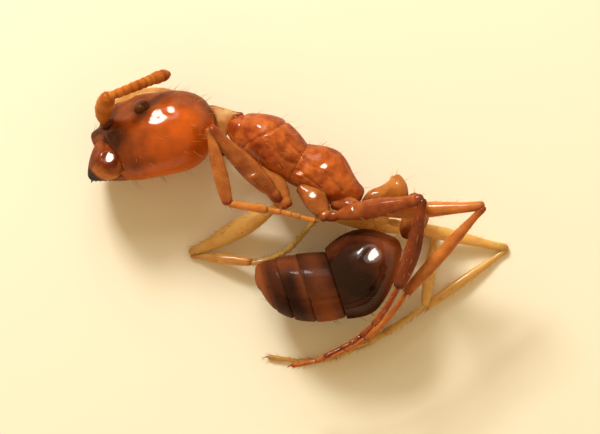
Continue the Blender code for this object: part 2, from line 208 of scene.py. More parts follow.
class Gauge:
    """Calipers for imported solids: cuts them with planes and reads the slices."""

    END = 0.06  # the share of a bent limb's length at each end that its rough slices leave out
    ROUGH_SLICES = 9
    REACH = 2.5  # how far round a slice's middle a bent limb is cut, in half sizes

    def __init__(self, *nodes: str) -> None:
        """Takes the surface of one or more CAD nodes."""
        self.triangles = np.concatenate([triangles_of(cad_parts[node]) for node in nodes])

    @property
    def middle(self) -> Vector:
        """The middle of the corners."""
        return Vector(self.triangles.reshape(-1, 3).mean(axis=0))

    def span(self, direction: Vector) -> tuple[float, float]:
        """How far the solid reaches along a direction: lowest and highest."""
        reach = self.triangles.reshape(-1, 3) @ np.array(direction)
        return float(reach.min()), float(reach.max())

    def axes(self) -> np.ndarray:
        """The solid's own directions, one row each, from its longest to its shortest."""
        corners = self.triangles.reshape(-1, 3)
        return np.linalg.svd(corners - corners.mean(axis=0), full_matrices=False)[2]

    def cut(self, point: Vector, normal: Vector, reach: float) -> np.ndarray:
        """Finds where the surface crosses a plane.

        Args:
            point: a point of the plane.
            normal: its direction.
            reach: how far from the point crossings count.

        Returns:
            The crossings, one row each.
        """
        heights = (self.triangles - np.array(point)) @ np.array(normal)
        crossings = []
        for a, b in ((0, 1), (1, 2), (2, 0)):
            crossed = (heights[:, a] > 0) != (heights[:, b] > 0)
            share = heights[crossed, a] / (heights[crossed, a] - heights[crossed, b])
            start, end = self.triangles[crossed, a], self.triangles[crossed, b]
            crossings.append(start + share[:, None] * (end - start))
        found = np.concatenate(crossings)
        return found[np.linalg.norm(found - np.array(point), axis=1) < reach]

    def section(self, point: Vector, along: Vector, up: Vector, reach: float = 9.0) -> Section:
        """Measures the slice through a point.

        Args:
            point: a point in or near the solid.
            along: the way the body runs there.
            up: which way up its slice is drawn.
            reach: how far from the point the slice may spread.

        Returns:
            The slice, with its middle between its edges.
        """
        blank = Section(point, along, up, 1.0, 1.0)
        level, side = blank.facing().col[1], blank.side
        loose = self.cut(point, along.normalized(), reach) - np.array(point)
        heights, widths = loose @ np.array(level), loose @ np.array(side)
        centre = point + level * float(heights.max() + heights.min()) / 2
        centre += side * float(widths.max() + widths.min()) / 2
        return Section(centre, along, up, float(np.ptp(heights)) / 2, float(np.ptp(widths)) / 2)

    def straight(self, along: Vector, up: Vector, places: Sequence[float]) -> list[Section]:
        """Cuts slices square to one direction.

        Args:
            along: the direction.
            up: which way up the slices are drawn.
            places: shares of the solid's length.

        Returns:
            The slices.
        """
        low, high = self.span(along)
        middle = self.middle
        steps = [low + share * (high - low) - middle.dot(along) for share in places]
        return [self.section(middle + along * step, along, up) for step in steps]

    def bent(self, near: Vector, up: Vector, places: Sequence[float]) -> list[Section]:
        """Cuts slices that follow a bent limb, from the end that is nearest to a point.

        Args:
            near: a point near the limb's root.
            up: which way up the slices are drawn.
            places: shares of the limb's length.

        Returns:
            The slices, each square to the limb's own run.
        """
        axis = Vector(self.axes()[0])
        if (self.middle - near).dot(axis) <= 0:
            axis = -axis
        rough = self.straight(axis, up, np.linspace(self.END, 1.0 - self.END, self.ROUGH_SLICES))
        centres = np.array([section.centre for section in rough])
        travelled = travel(centres) * (1.0 - 2 * self.END) + self.END
        runs = np.gradient(centres, travelled, axis=0)
        reach = self.REACH * max(max(section.tall, section.wide) for section in rough)
        found = []
        for share in places:
            inside = min(max(share, travelled[0]), travelled[-1])
            point = Vector([np.interp(inside, travelled, centres[:, k]) for k in range(3)])
            run = Vector([np.interp(inside, travelled, runs[:, k]) for k in range(3)])
            section = self.section(point, run.normalized(), up, reach)
            found.append(replace(section, centre=section.centre + run * (share - inside)))
        return found


def travel(centres: np.ndarray) -> np.ndarray:
    """Shares of the way along a row of points, from 0 at the first to 1 at the last."""
    steps = np.linalg.norm(np.diff(centres, axis=0), axis=1)
    return np.concatenate([[0.0], np.cumsum(steps)]) / steps.sum()


def way(slope: float) -> Vector:
    """The direction that climbs from the tail's towards the back's by a slope in degrees."""
    return Vector((math.cos(math.radians(slope)), math.sin(math.radians(slope)), 0.0))


# --- hand tools ----------------------------------------------------------------------------------
def pick_up(piece: Piece) -> None:
    """Makes a piece the only one selected, and the active one.

    Args:
        piece: the object.
    """
    bpy.ops.object.select_all(action="DESELECT")
    piece.select_set(True)
    bpy.context.view_layer.objects.active = piece


@contextmanager
def on_the_bench(piece: Piece, elements: str = "FACE") -> Iterator[None]:
    """Edit mode on one piece, all of it selected.

    Args:
        piece: the object to work on.
        elements: VERT, EDGE or FACE, which the operators then select.
    """
    pick_up(piece)
    bpy.ops.object.mode_set(mode="EDIT")
    bpy.ops.mesh.select_mode(type=elements)
    bpy.ops.mesh.select_all(action="SELECT")
    yield
    bpy.ops.object.mode_set(mode="OBJECT")


def turn_chosen(rotation: Matrix, centre: Vector) -> None:
    """Turns what is selected about a point, one world axis after another.

    Args:
        rotation: the whole turn.
        centre: the point.
    """
    for axis, angle in zip("XYZ", rotation.to_euler("XYZ")):
        if abs(angle) > 1e-6:
            bpy.ops.transform.rotate(value=-angle, orient_axis=axis, center_override=centre)


def number_elements() -> None:
    """Numbers, in edit mode, points, edges and faces by their distance from one point.

    Extruding and bevelling number what they make in another order each run, and the bristles' roots
    are picked by the numbers of faces.
    """
    cursor = bpy.context.scene.cursor
    cursor.location = SORTING_POINT
    bpy.ops.mesh.select_all(action="SELECT")
    bpy.ops.mesh.sort_elements(type="CURSOR_DISTANCE", elements={"VERT", "EDGE", "FACE"})
    cursor.location = (0.0, 0.0, 0.0)


def loft(name: str, sections: Sequence[Section], sides: int, fullness: float = 2.0) -> Piece:
    """Draws a closed body: a disc at the first slice, extruded to each slice after it.

    Args:
        name: the new object's name.
        sections: the slices, in order along the body.
        sides: corners of each slice.
        fullness: 2 for elliptical slices, more for fuller flanks.

    Returns:
        The new object, with its place in its mesh.
    """
    first = sections[0]
    bpy.ops.object.select_all(action="DESELECT")
    bpy.ops.mesh.primitive_circle_add(
        vertices=sides,
        radius=1.0,
        fill_type="NGON",
        location=first.centre,
        rotation=first.facing().to_euler(),
    )
    piece = bpy.context.object
    piece.name = piece.data.name = name
    for vertex in piece.data.vertices:
        x, y = abs(vertex.co.x), abs(vertex.co.y)
        vertex.co *= (x**fullness + y**fullness) ** (-1.0 / fullness)
    piece.scale = (first.wide, first.tall, 1.0)
    bpy.ops.object.transform_apply()
    with on_the_bench(piece):
        for near, far in pairwise(sections):
            step = far.centre - near.centre
            bpy.ops.mesh.extrude_region_move(TRANSFORM_OT_translate={"value": step})
            turn_chosen(far.facing() @ near.facing().transposed(), far.centre)
            bpy.ops.transform.resize(
                value=(far.wide / near.wide, far.tall / near.tall, 1.0),
                orient_type="GLOBAL",
                orient_matrix=far.facing(),
                orient_matrix_type="GLOBAL",
                center_override=far.centre,
            )
        bpy.ops.mesh.select_all(action="SELECT")
        bpy.ops.mesh.normals_make_consistent(inside=False)
        number_elements()
    return piece


def subdivide(piece: Piece, levels: int) -> None:
    """Rounds a piece with an applied Subdivision Surface.

    Args:
        piece: the object.
        levels: how often its faces are divided.
    """
    pick_up(piece)
    modifier = piece.modifiers.new("round", "SUBSURF")
    modifier.levels = modifier.render_levels = levels
    bpy.ops.object.modifier_apply(modifier=modifier.name)


def join(pieces: Sequence[Piece]) -> Piece:
    """Makes several meshes one object, under the first one's name.

    Args:
        pieces: the objects.

    Returns:
        The joined object.
    """
    pick_up(pieces[0])
    for piece in pieces:
        piece.select_set(True)
    bpy.ops.object.join()
    return pieces[0]


def move_vertices(piece: Piece, places: np.ndarray) -> None:
    """Puts every vertex of a piece in a new place."""
    piece.data.vertices.foreach_set("co", places.ravel())
    piece.data.update()


def paint(piece: Piece, tone: float | np.ndarray) -> None:
    """Stores the tone that a piece's finish reads.

    Args:
        piece: the object.
        tone: one number for all of its vertices, or one for each.
    """
    tones = np.full(len(piece.data.vertices), tone)
    attribute = piece.data.attributes.new("tone", "FLOAT", "POINT")
    attribute.data.foreach_set("value", np.clip(tones, 0.0, 1.0).astype(np.float32))


def ramp(values: np.ndarray, none: float, full: float) -> np.ndarray:
    """0 up to one value and 1 from another on, whichever is higher, with an even ramp between."""
    share = np.clip((values - none) / (full - none), 0.0, 1.0)
    return share * share * (3.0 - 2.0 * share)


def finish_piece(
    piece: Piece, finish: "Finish", nodes: Sequence[str] = ()
) -> None:
    """Keeps a piece off the ground, turns it into metres and hands it over.

    Args:
        piece: the modelled object, in millimetres.
        finish: what its surface is made of.
        nodes: the CAD nodes that it stands for.
    """
    places = places_of(piece)
    places[:, 2] = np.maximum(places[:, 2], GROUND)
    move_vertices(piece, places)
    pick_up(piece)
    piece.scale = (MM, MM, MM)
    bpy.ops.object.transform_apply(location=False, rotation=False, scale=True)
    bpy.ops.object.shade_smooth()
    piece.data.materials.clear()
    piece.data.materials.append(finish.material())
    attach(piece, "root")
    if nodes:
        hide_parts(*nodes)
    log.info("%s: %d faces", piece.name, len(piece.data.polygons))


# --- finishes ------------------------------------------------------------------------------------
def dress(node: bpy.types.Node, **inputs: object) -> bpy.types.Node:
    """Sets a node's inputs, or links them where the value is another node's output.

    Args:
        node: the node.
        **inputs: values or outputs, by input name with underscores for spaces.

    Returns:
        The node.
    """
    for name, value in inputs.items():
        socket = node.inputs[name.replace("_", " ")]
        if isinstance(value, bpy.types.NodeSocket):
            node.id_data.links.new(value, socket)
        else:
            socket.default_value = value
    return node


def add_node(tree: Tree, kind: str, **inputs: object) -> bpy.types.Node:
    """A new node of a kind, named without ShaderNode in front, with its inputs set or linked."""
    return dress(tree.nodes.new("ShaderNode" + kind), **inputs)


def grain(tree: Tree, size: float, detail: float = 2.0) -> Socket:
    """Noise fixed to the piece, by its grains' size in millimetres and its number of finer layers."""
    places = add_node(tree, "TexCoord").outputs["Object"]
    return add_node(tree, "TexNoise", Vector=places, Scale=1.0 / (size * MM), Detail=detail).outputs["Fac"]


def ranged(tree: Tree, value: Socket, low: float, high: float, span: Band = (0.25, 0.75)) -> Socket:
    """Stretches a value to run from low to high.

    Args:
        tree: the node tree.
        value: the value.
        low: what it becomes at the start of its span.
        high: what it becomes at the end of its span.
        span: where its span starts and ends, which is noise's usual one if it isn't given.

    Returns:
        The new value.
    """
    start, end = span
    made = add_node(tree, "MapRange", Value=value, From_Min=start, From_Max=end, To_Min=low, To_Max=high)
    return made.outputs["Result"]


def blended(tree: Tree, value: Socket, *colours: Colour) -> Socket:
    """Runs evenly from one colour to the next as a value goes from 0 to 1.

    Args:
        tree: the node tree.
        value: what the colour goes by.
        *colours: two or three colours.

    Returns:
        The colour output.
    """
    made = add_node(tree, "ValToRGB", Fac=value)
    stops = made.color_ramp.elements
    if len(colours) > len(stops):
        stops.new(0.5)
    for stop, colour in zip(stops, colours):
        stop.color = (*colour, 1.0)
    return made.outputs["Color"]


def scaled(colour: Colour, factor: float) -> Colour:
    """A colour made darker or lighter."""
    return tuple(factor * part for part in colour)


class Finish:
    """A surface finish that makes its material once."""

    name: str
    slot: Slot

    def material(self) -> bpy.types.Material:
        """The finish's material, made at the first call."""
        made = bpy.data.materials.get(self.name)
        if made is None:
            made = bpy.data.materials.new(self.name)
            made.use_nodes = True
            self.mix(made.node_tree, made.node_tree.nodes["Principled BSDF"])
        return made

    def mix(self, tree: Tree, shader: bpy.types.Node) -> None:
        """Builds the finish's nodes round its Principled shader."""
        raise NotImplementedError


@dataclass(frozen=True)
class Cuticle(Finish):
    """Glossy insect shell, whose colour runs from light to deep with the tone painted on a piece.

    Sizes are in millimetres.
    """

    name: str
    slot: Slot
    light: Colour
    middle: Colour
    deep: Colour
    roughness: float = 0.32
    uneven: tuple[float, float] = (-0.07, 0.09)
    polish_size: float = 0.05
    glow: float = 0.50
    glow_reach: Colour = (1.0, 0.32, 0.08)
    depth: float = 0.20
    clear: float = 0.0
    shine: float = 0.012
    bend: float = 1.5
    lacquer: float = 0.70
    lacquer_edge: float = 0.1  # the share of the lacquer that is left where the shell turns away
    lacquer_turn: Band = (0.30, 0.65)
    lacquer_roughness: float = 0.08
    lacquer_bend: float = 1.4
    mottle: float = 0.35
    mottle_size: float = 0.16
    relief: float = 0.0011
    relief_size: float = 0.022
    dents: float = 0.004
    dent_size: float = 0.11

    def mix(self, tree: Tree, shader: bpy.types.Node) -> None:
        """Builds the colour, the mottling, the uneven polish, the relief and the lacquer.

        Args:
            tree: the material's node tree.
            shader: its Principled shader.
        """
        tone = add_node(tree, "Attribute")
        tone.attribute_name = "tone"
        cloud = ranged(tree, grain(tree, self.mottle_size, 3.0), -self.mottle / 2, self.mottle / 2)
        total = add_node(tree, "Math")
        for value, socket in zip((tone.outputs["Fac"], cloud), total.inputs):
            tree.links.new(value, socket)
        low, high = (self.roughness + change for change in self.uneven)
        bumps = {}
        for size, detail, height in (
            (self.dent_size, 1.0, self.dents),
            (self.relief_size, 3.0, self.relief),
        ):
            noise = grain(tree, size, detail)
            bump = add_node(tree, "Bump", Height=noise, Strength=1.0, Distance=height * MM, **bumps)
            bumps = {"Normal": bump.outputs["Normal"]}
        turned = add_node(tree, "LayerWeight", Blend=0.5).outputs["Facing"]
        edge = self.lacquer_edge * self.lacquer
        dress(
            shader,
            Base_Color=blended(tree, total.outputs["Value"], self.light, self.middle, self.deep),
            Roughness=ranged(tree, grain(tree, self.polish_size), low, high),
            Subsurface_Weight=self.glow,
            Subsurface_Radius=self.glow_reach,
            Subsurface_Scale=self.depth * MM,
            Transmission_Weight=self.clear,
            IOR=self.bend,
            Specular_IOR_Level=self.shine,
            Coat_Weight=ranged(tree, turned, self.lacquer, edge, self.lacquer_turn),
            Coat_Roughness=self.lacquer_roughness,
            Coat_IOR=self.lacquer_bend,
            **bumps,
        )


@dataclass(frozen=True)
class Facets(Finish):
    """The dark brown lenses of a compound eye."""

    name: str = "eye_facets"
    slot: Slot = Slot.EYE
    colour: Colour = (0.088, 0.022, 0.004)
    shades: tuple[float, float] = (0.3, 2.2)
    cloud_size: float = 0.06
    polish_size: float = 0.02
    polish: tuple[float, float] = (0.22, 0.42)

    def mix(self, tree: Tree, shader: bpy.types.Node) -> None:
        """Builds a dark brown with a lighter cloud.

        Args:
            tree: the material's node tree.
            shader: its Principled shader.
        """
        cloud = grain(tree, self.cloud_size, 3.0)
        dress(
            shader,
            Base_Color=blended(tree, cloud, *(scaled(self.colour, shade) for shade in self.shades)),
            Roughness=ranged(tree, grain(tree, self.polish_size), *self.polish),
            Specular_IOR_Level=0.05,
            Coat_Weight=0.2,
            Coat_Roughness=0.12,
        )


@dataclass(frozen=True)
class Card(Finish):
    """Smooth pale card."""

    name: str = "pale_card"
    colour: Colour = (0.93, 0.88, 0.73)
    cloud: float = 0.985
    cloud_size: float = 1.4

    def mix(self, tree: Tree, shader: bpy.types.Node) -> None:
        """Builds a matt cream with a very faint cloud.

        Args:
            tree: the material's node tree.
            shader: its Principled shader.
        """
        colour = blended(tree, grain(tree, self.cloud_size), scaled(self.colour, self.cloud), self.colour)
        dress(shader, Base_Color=colour, Roughness=0.9, Specular_IOR_Level=0.1)


class Cuticles(Enum):
    """The cuticles of the ant's parts."""

    HEAD = Cuticle(
        "head_cuticle",
        Slot.RED_PLATE,
        (0.60, 0.118, 0.010),
        (0.24, 0.048, 0.008),
        (0.060, 0.012, 0.004),
        glow=0.75,
        dents=0.002,
        depth=0.26,
    )
    TRUNK = Cuticle(
        "trunk_cuticle",
        Slot.RED_PLATE,
        (0.56, 0.143, 0.023),
        (0.28, 0.046, 0.008),
        (0.035, 0.007, 0.003),
        shine=0.04,
        mottle=0.55,
        mottle_size=0.11,
        dents=0.013,
        dent_size=0.075,
    )
    WAIST = Cuticle(
        "waist_cuticle",
        Slot.WAIST,
        (0.66, 0.27, 0.042),
        (0.34, 0.088, 0.014),
        (0.08, 0.014, 0.004),
        clear=0.15,
    )
    MEMBRANE = Cuticle(
        "neck_membrane",
        Slot.WAIST,
        (0.86, 0.58, 0.26),
        (0.66, 0.26, 0.06),
        (0.26, 0.060, 0.012),
        roughness=0.45,
        clear=0.45,
        lacquer=0.2,
    )
    GASTER = Cuticle(
        "gaster_cuticle",
        Slot.GASTER,
        (0.38, 0.095, 0.018),
        (0.155, 0.036, 0.012),
        (0.018, 0.0050, 0.0026),
        roughness=0.36,
        glow=0.05,
        shine=0.0,
        mottle=0.16,
        mottle_size=0.24,
        dents=0.0015,
    )
    GASTER_END = Cuticle(
        "gaster_end_cuticle",
        Slot.GASTER,
        (0.42, 0.12, 0.022),
        (0.165, 0.043, 0.015),
        (0.024, 0.0075, 0.0040),
        roughness=0.46,
        glow=0.05,
        shine=0.03,
        lacquer=0.14,
        mottle=0.16,
        mottle_size=0.24,
    )
    JAW = Cuticle(
        "jaw_cuticle",
        Slot.MANDIBLE,
        (0.58, 0.17, 0.022),
        (0.17, 0.028, 0.006),
        (0.008, 0.003, 0.002),
        glow=0.25,
        lacquer=0.75,
    )
    FEELER = Cuticle(
        "feeler_cuticle",
        Slot.ANTENNA,
        (0.52, 0.18, 0.026),
        (0.28, 0.060, 0.010),
        (0.040, 0.012, 0.005),
        roughness=0.42,
        lacquer=0.2,
    )
    NEAR_LEG = Cuticle(
        "near_leg_cuticle",
        Slot.BROWN_LEG,
        (0.62, 0.23, 0.045),
        (0.26, 0.050, 0.011),
        (0.045, 0.010, 0.004),
        clear=0.1,
    )
    # A lighter copy of the near legs' cuticle for the far legs: painted light that stands for light shining
    # through them and offsets the shade that the body casts on them
    FAR_LEG_PAINTED_LIGHT = Cuticle(
        "far_leg_painted_light_cuticle",
        Slot.AMBER_LEG,
        (0.92, 0.57, 0.165),
        (0.60, 0.22, 0.036),
        (0.15, 0.034, 0.006),
        glow=0.4,
        clear=0.40,
    )
    BRISTLE = Cuticle(
        "bristle_cuticle",
        Slot.AMBER_LEG,
        (0.80, 0.44, 0.14),
        (0.50, 0.19, 0.04),
        (0.05, 0.018, 0.006),
        roughness=0.4,
        glow=0.0,
        clear=0.2,
        lacquer=0.1,
        relief=0.0002,
        dents=0.0,
    )


# --- shell plates --------------------------------------------------------------------------------
@dataclass(frozen=True)
class Groove:
    """A seam pressed into a plate along a path, or a ridge where its depth is below zero.

    The path's points are shares of the plate's length and degrees from its back towards its side.
    """

    path: tuple[tuple[float, float], ...]
    width: float
    depth: float
    signs: Band = BOTH

    def push(self, shell: "Shell", places: np.ndarray, sign: float) -> np.ndarray:
        """Works out how far it pushes a shell out.

        Args:
            shell: the shell.
            places: the shell's vertices.
            sign: the side that it is on.

        Returns:
            One distance a vertex.
        """
        shares, degrees = np.array(self.path).T
        steps = np.linspace(0, len(shares) - 1, 10 * len(shares))
        dense = np.interp(steps, range(len(shares)), shares)
        turns = np.interp(steps, range(len(shares)), degrees) * sign
        line = np.array([shell.at(s, d) for s, d in zip(dense, turns)])
        gaps = np.linalg.norm(places[:, None] - line[None], axis=2).min(axis=1)
        return -self.depth * np.exp(-((gaps / self.width) ** 2))


@dataclass(frozen=True)
class Swell:
    """A round bulge in a plate, or a pit where its height is below zero."""

    share: float
    degrees: float
    radius: float
    height: float
    signs: Band = BOTH

    def push(self, shell: "Shell", places: np.ndarray, sign: float) -> np.ndarray:
        """How far it pushes each of a shell's vertices out, on the side with a sign."""
        gaps = np.linalg.norm(places - np.array(shell.at(self.share, self.degrees * sign)), axis=1)
        return self.height * (1.0 - ramp(gaps, 0.0, self.radius))


@dataclass(frozen=True)
class Flat:
    """A round place that is flatter than the shell about it, so that a broad glint lies on it."""

    share: float
    degrees: float
    radius: float
    hold: float  # how much of its roundness it loses
    signs: Band = BOTH
    facing: tuple[float, float, float] = (-0.203, 0.398, 0.895)


@dataclass(frozen=True)
class Shade:
    """What is added to a shell's tone where ramps along it and around it overlap."""

    amount: float
    along: Band = ()  # by shares of the length
    around: Band = ()  # by degrees from the back


class Shell:
    """One plate or limb length, lofted through its slices and then carved."""

    def __init__(self, piece: Piece, sections: Sequence[Section]) -> None:
        """Keeps a body with the slices that it follows.

        Args:
            piece: the body.
            sections: its slices in order.
        """
        self.piece = piece
        self.sections = list(sections)
        self.centres = np.array([section.centre for section in self.sections])
        self.travelled = travel(self.centres)

    @classmethod
    def lofted(
        cls, name: str, sections: Sequence[Section], sides: int, levels: int, fullness: float = 2.0
    ) -> "Shell":
        """Lofts and rounds a new body.

        Args:
            name: the piece's name.
            sections: slices in order.
            sides: corners of each slice before rounding.
            levels: how often the faces are divided.
            fullness: 2 for elliptical slices, more for fuller flanks.

        Returns:
            The body's shell.
        """
        piece = loft(name, sections, sides, fullness)
        subdivide(piece, levels)
        return cls(piece, sections)

    @property
    def end(self) -> Vector:
        """The middle of its last slice."""
        return Vector(self.centres[-1])

    def slice_at(self, share: float) -> Section:
        """Blends the slice at a share of the length from its neighbours.

        Args:
            share: the share.

        Returns:
            The slice.
        """
        index = int(np.clip(np.searchsorted(self.travelled, share) - 1, 0, len(self.sections) - 2))
        near, far = self.sections[index], self.sections[index + 1]
        gap = self.travelled[index + 1] - self.travelled[index]
        part = float(np.clip((share - self.travelled[index]) / gap, 0.0, 1.0))
        return Section(
            near.centre.lerp(far.centre, part),
            near.along.lerp(far.along, part),
            near.up,
            near.tall + (far.tall - near.tall) * part,
            near.wide + (far.wide - near.wide) * part,
        )

    def at(self, share: float, degrees: float) -> Vector:
        """The point of the surface at a share of the length and an angle from the back."""
        return self.piece.closest_point_on_mesh(self.slice_at(share).rim(degrees))[1]

    def spread(self, places: np.ndarray) -> tuple[np.ndarray, np.ndarray]:
        """Finds where points lie on the body.

        Args:
            places: one point a row.

        Returns:
            Their shares of the length, and their degrees from the back, negative on the far side.
        """
        nearest = np.full(len(places), np.inf)
        shares, degrees = np.zeros(len(places)), np.zeros(len(places))
        for index in range(len(self.sections) - 1):
            start, run = self.centres[index], self.centres[index + 1] - self.centres[index]
            part = np.clip((places - start) @ run / (run @ run), 0.0, 1.0)
            loose = places - start - part[:, None] * run
            distance = np.linalg.norm(loose, axis=1)
            closer = distance < nearest
            nearest = np.where(closer, distance, nearest)
            gap = self.travelled[index + 1] - self.travelled[index]
            shares = np.where(closer, self.travelled[index] + part * gap, shares)
            section = self.sections[index]
            level, side = np.array(section.facing().col[1]), np.array(section.side)
            angle = np.degrees(np.arctan2(loose @ side / section.wide, loose @ level / section.tall))
            degrees = np.where(closer, angle, degrees)
        return shares, degrees

    def carve(self, *works: Groove | Swell) -> None:
        """Presses grooves and raises swells along the shell's normals.

        Args:
            *works: the grooves and swells, each done on the sides that its signs name.
        """
        places = places_of(self.piece)
        amounts = np.zeros(len(places))
        for work in works:
            for sign in work.signs:
                amounts += work.push(self, places, sign)
        move_vertices(self.piece, places + vertex_rows(self.piece, "normal") * amounts[:, None])

    def flatten(self, flat: Flat) -> None:
        """Turns a round place to its own way and takes much of its roundness off.

        Args:
            flat: the place.
        """
        for sign in flat.signs:
            rim = self.slice_at(flat.share).rim(flat.degrees * sign)
            centre, lie = (np.array(part) for part in self.piece.closest_point_on_mesh(rim)[1:3])
            facing = np.array(flat.facing) * (1.0, 1.0, sign)
            places = places_of(self.piece)
            loose = places - centre
            spare = loose @ facing - (1.0 - flat.hold) * (loose @ lie)
            close = 1.0 - ramp(np.linalg.norm(loose, axis=1), 0.5 * flat.radius, flat.radius)
            move_vertices(self.piece, places - np.outer(spare * close, facing))

    def shade(self, base: float, *shades: Shade, shares: np.ndarray | None = None) -> np.ndarray:
        """Works out a tone for every vertex.

        Args:
            base: the tone where nothing is added.
            *shades: what is added.
            shares: the vertices' shares of the length, where they aren't the slices' own.

        Returns:
            The tones.
        """
        own, degrees = self.spread(places_of(self.piece))
        along = own if shares is None else shares
        tone = np.full(len(own), base)
        for shade in shades:
            part = np.full(len(own), shade.amount)
            for values, band in ((along, shade.along), (np.abs(degrees), shade.around)):
                for none, full in zip(band[::2], band[1::2]):
                    part *= ramp(values, none, full)
            tone += part
        return tone


def capped(sections: Sequence[Section], first: float = 0.5, last: float = 0.5) -> list[Section]:
    """Adds a smaller slice past each end, which rounds it.

    Args:
        sections: the slices.
        first: how far the start bulges, in half sizes, or 0 to leave it.
        last: the same at the end.

    Returns:
        The longer list.
    """
    made = list(sections)
    if first:
        made.insert(0, made[0].grown(0.6, step=-first * min(made[0].tall, made[0].wide)))
    if last:
        made.append(made[-1].grown(0.6, step=last * min(made[-1].tall, made[-1].wide)))
    return made


def thorn(name: str, root: Vector, tip: Vector, curl: Vector, radius: float, tone: float) -> Piece:
    """Lofts and paints a curved pointed hook or tooth.

    Args:
        name: the new object's name.
        root: the middle of its base.
        tip: its point.
        curl: how far its middle is pushed aside.
        radius: its half thickness at the base.
        tone: its paint.

    Returns:
        The new object.
    """
    up = LEFT if abs((tip - root).normalized().z) < 0.8 else BACK
    sections = []
    for share in (0.0, 0.3, 0.6, 0.85, 1.0):
        centre = root.lerp(tip, share) + curl * (4.0 * share * (1.0 - share))
        along = (tip - root) + curl * (4.0 - 8.0 * share)
        size = radius * (1.0 - 0.93 * share**1.4)
        sections.append(Section(centre, along.normalized(), up, size, size))
    piece = loft(name, sections, sides=6)
    subdivide(piece, 1)
    paint(piece, tone)
    return piece


@dataclass(frozen=True)
class Plate:
    """The recipe of one shell: the slices of its solid, and how it is lofted, worked and painted.

    The first and the last slice are each drawn as starts and ends say.
    """

    node: str
    name: str
    coat: Cuticles
    places: Sequence[float]
    slope: float = 0.0  # of its run, in degrees, where it is straight
    near: str = ""  # the node that it starts from, where it is bent
    sizes: Sequence[float] = ()
    starts: Steps = UNCHANGED
    ends: Steps = UNCHANGED
    caps: tuple[float, float] = (0.5, 0.5)
    sides: int = 20
    levels: int = 2
    fullness: float = 2.0
    works: tuple[Groove | Swell, ...] = ()
    flats: tuple[Flat, ...] = ()
    base: float = 0.0
    shades: tuple[Shade, ...] = ()

    def measure(self) -> list[Section]:
        """The slices of its solid, as its slope or the node near it says."""
        if self.near:
            return Gauge(self.node).bent(Gauge(self.near).middle, LEFT, self.places)
        return Gauge(self.node).straight(way(self.slope), LEFT.cross(way(self.slope)), self.places)

    def loft(self, slices: Sequence[Section]) -> Shell:
        """Lofts it through slices and works it.

        Args:
            slices: the slices.

        Returns:
            Its shell.
        """
        if self.sizes:
            slices = [section.grown(size) for section, size in zip(slices, self.sizes)]
        drawn = [slices[0].grown(size, step=step) for size, step in self.starts]
        drawn += slices[1:-1]
        drawn += [slices[-1].grown(size, step=step) for size, step in self.ends]
        drawn = capped(drawn, *self.caps)
        shell = Shell.lofted(self.name, drawn, self.sides, self.levels, self.fullness)
        if self.works:
            shell.carve(*self.works)
        for flat in self.flats:
            shell.flatten(flat)
        return shell


@dataclass
class Part:
    """A sub-assembly, with the shells that it has made for the bristles to grow on."""

    shells: list[Shell] = field(default_factory=list)

    def keep(self, shell: Shell, coat: Cuticles, node: str, slot: Slot | None = None) -> Shell:
        """Finishes a painted shell and keeps it.

        Args:
            shell: the shell.
            coat: its cuticle.
            node: the CAD node that it stands for.
            slot: not used.

        Returns:
            The shell.
        """
        finish_piece(shell.piece, coat.value, [node])
        self.shells.append(shell)
        return shell


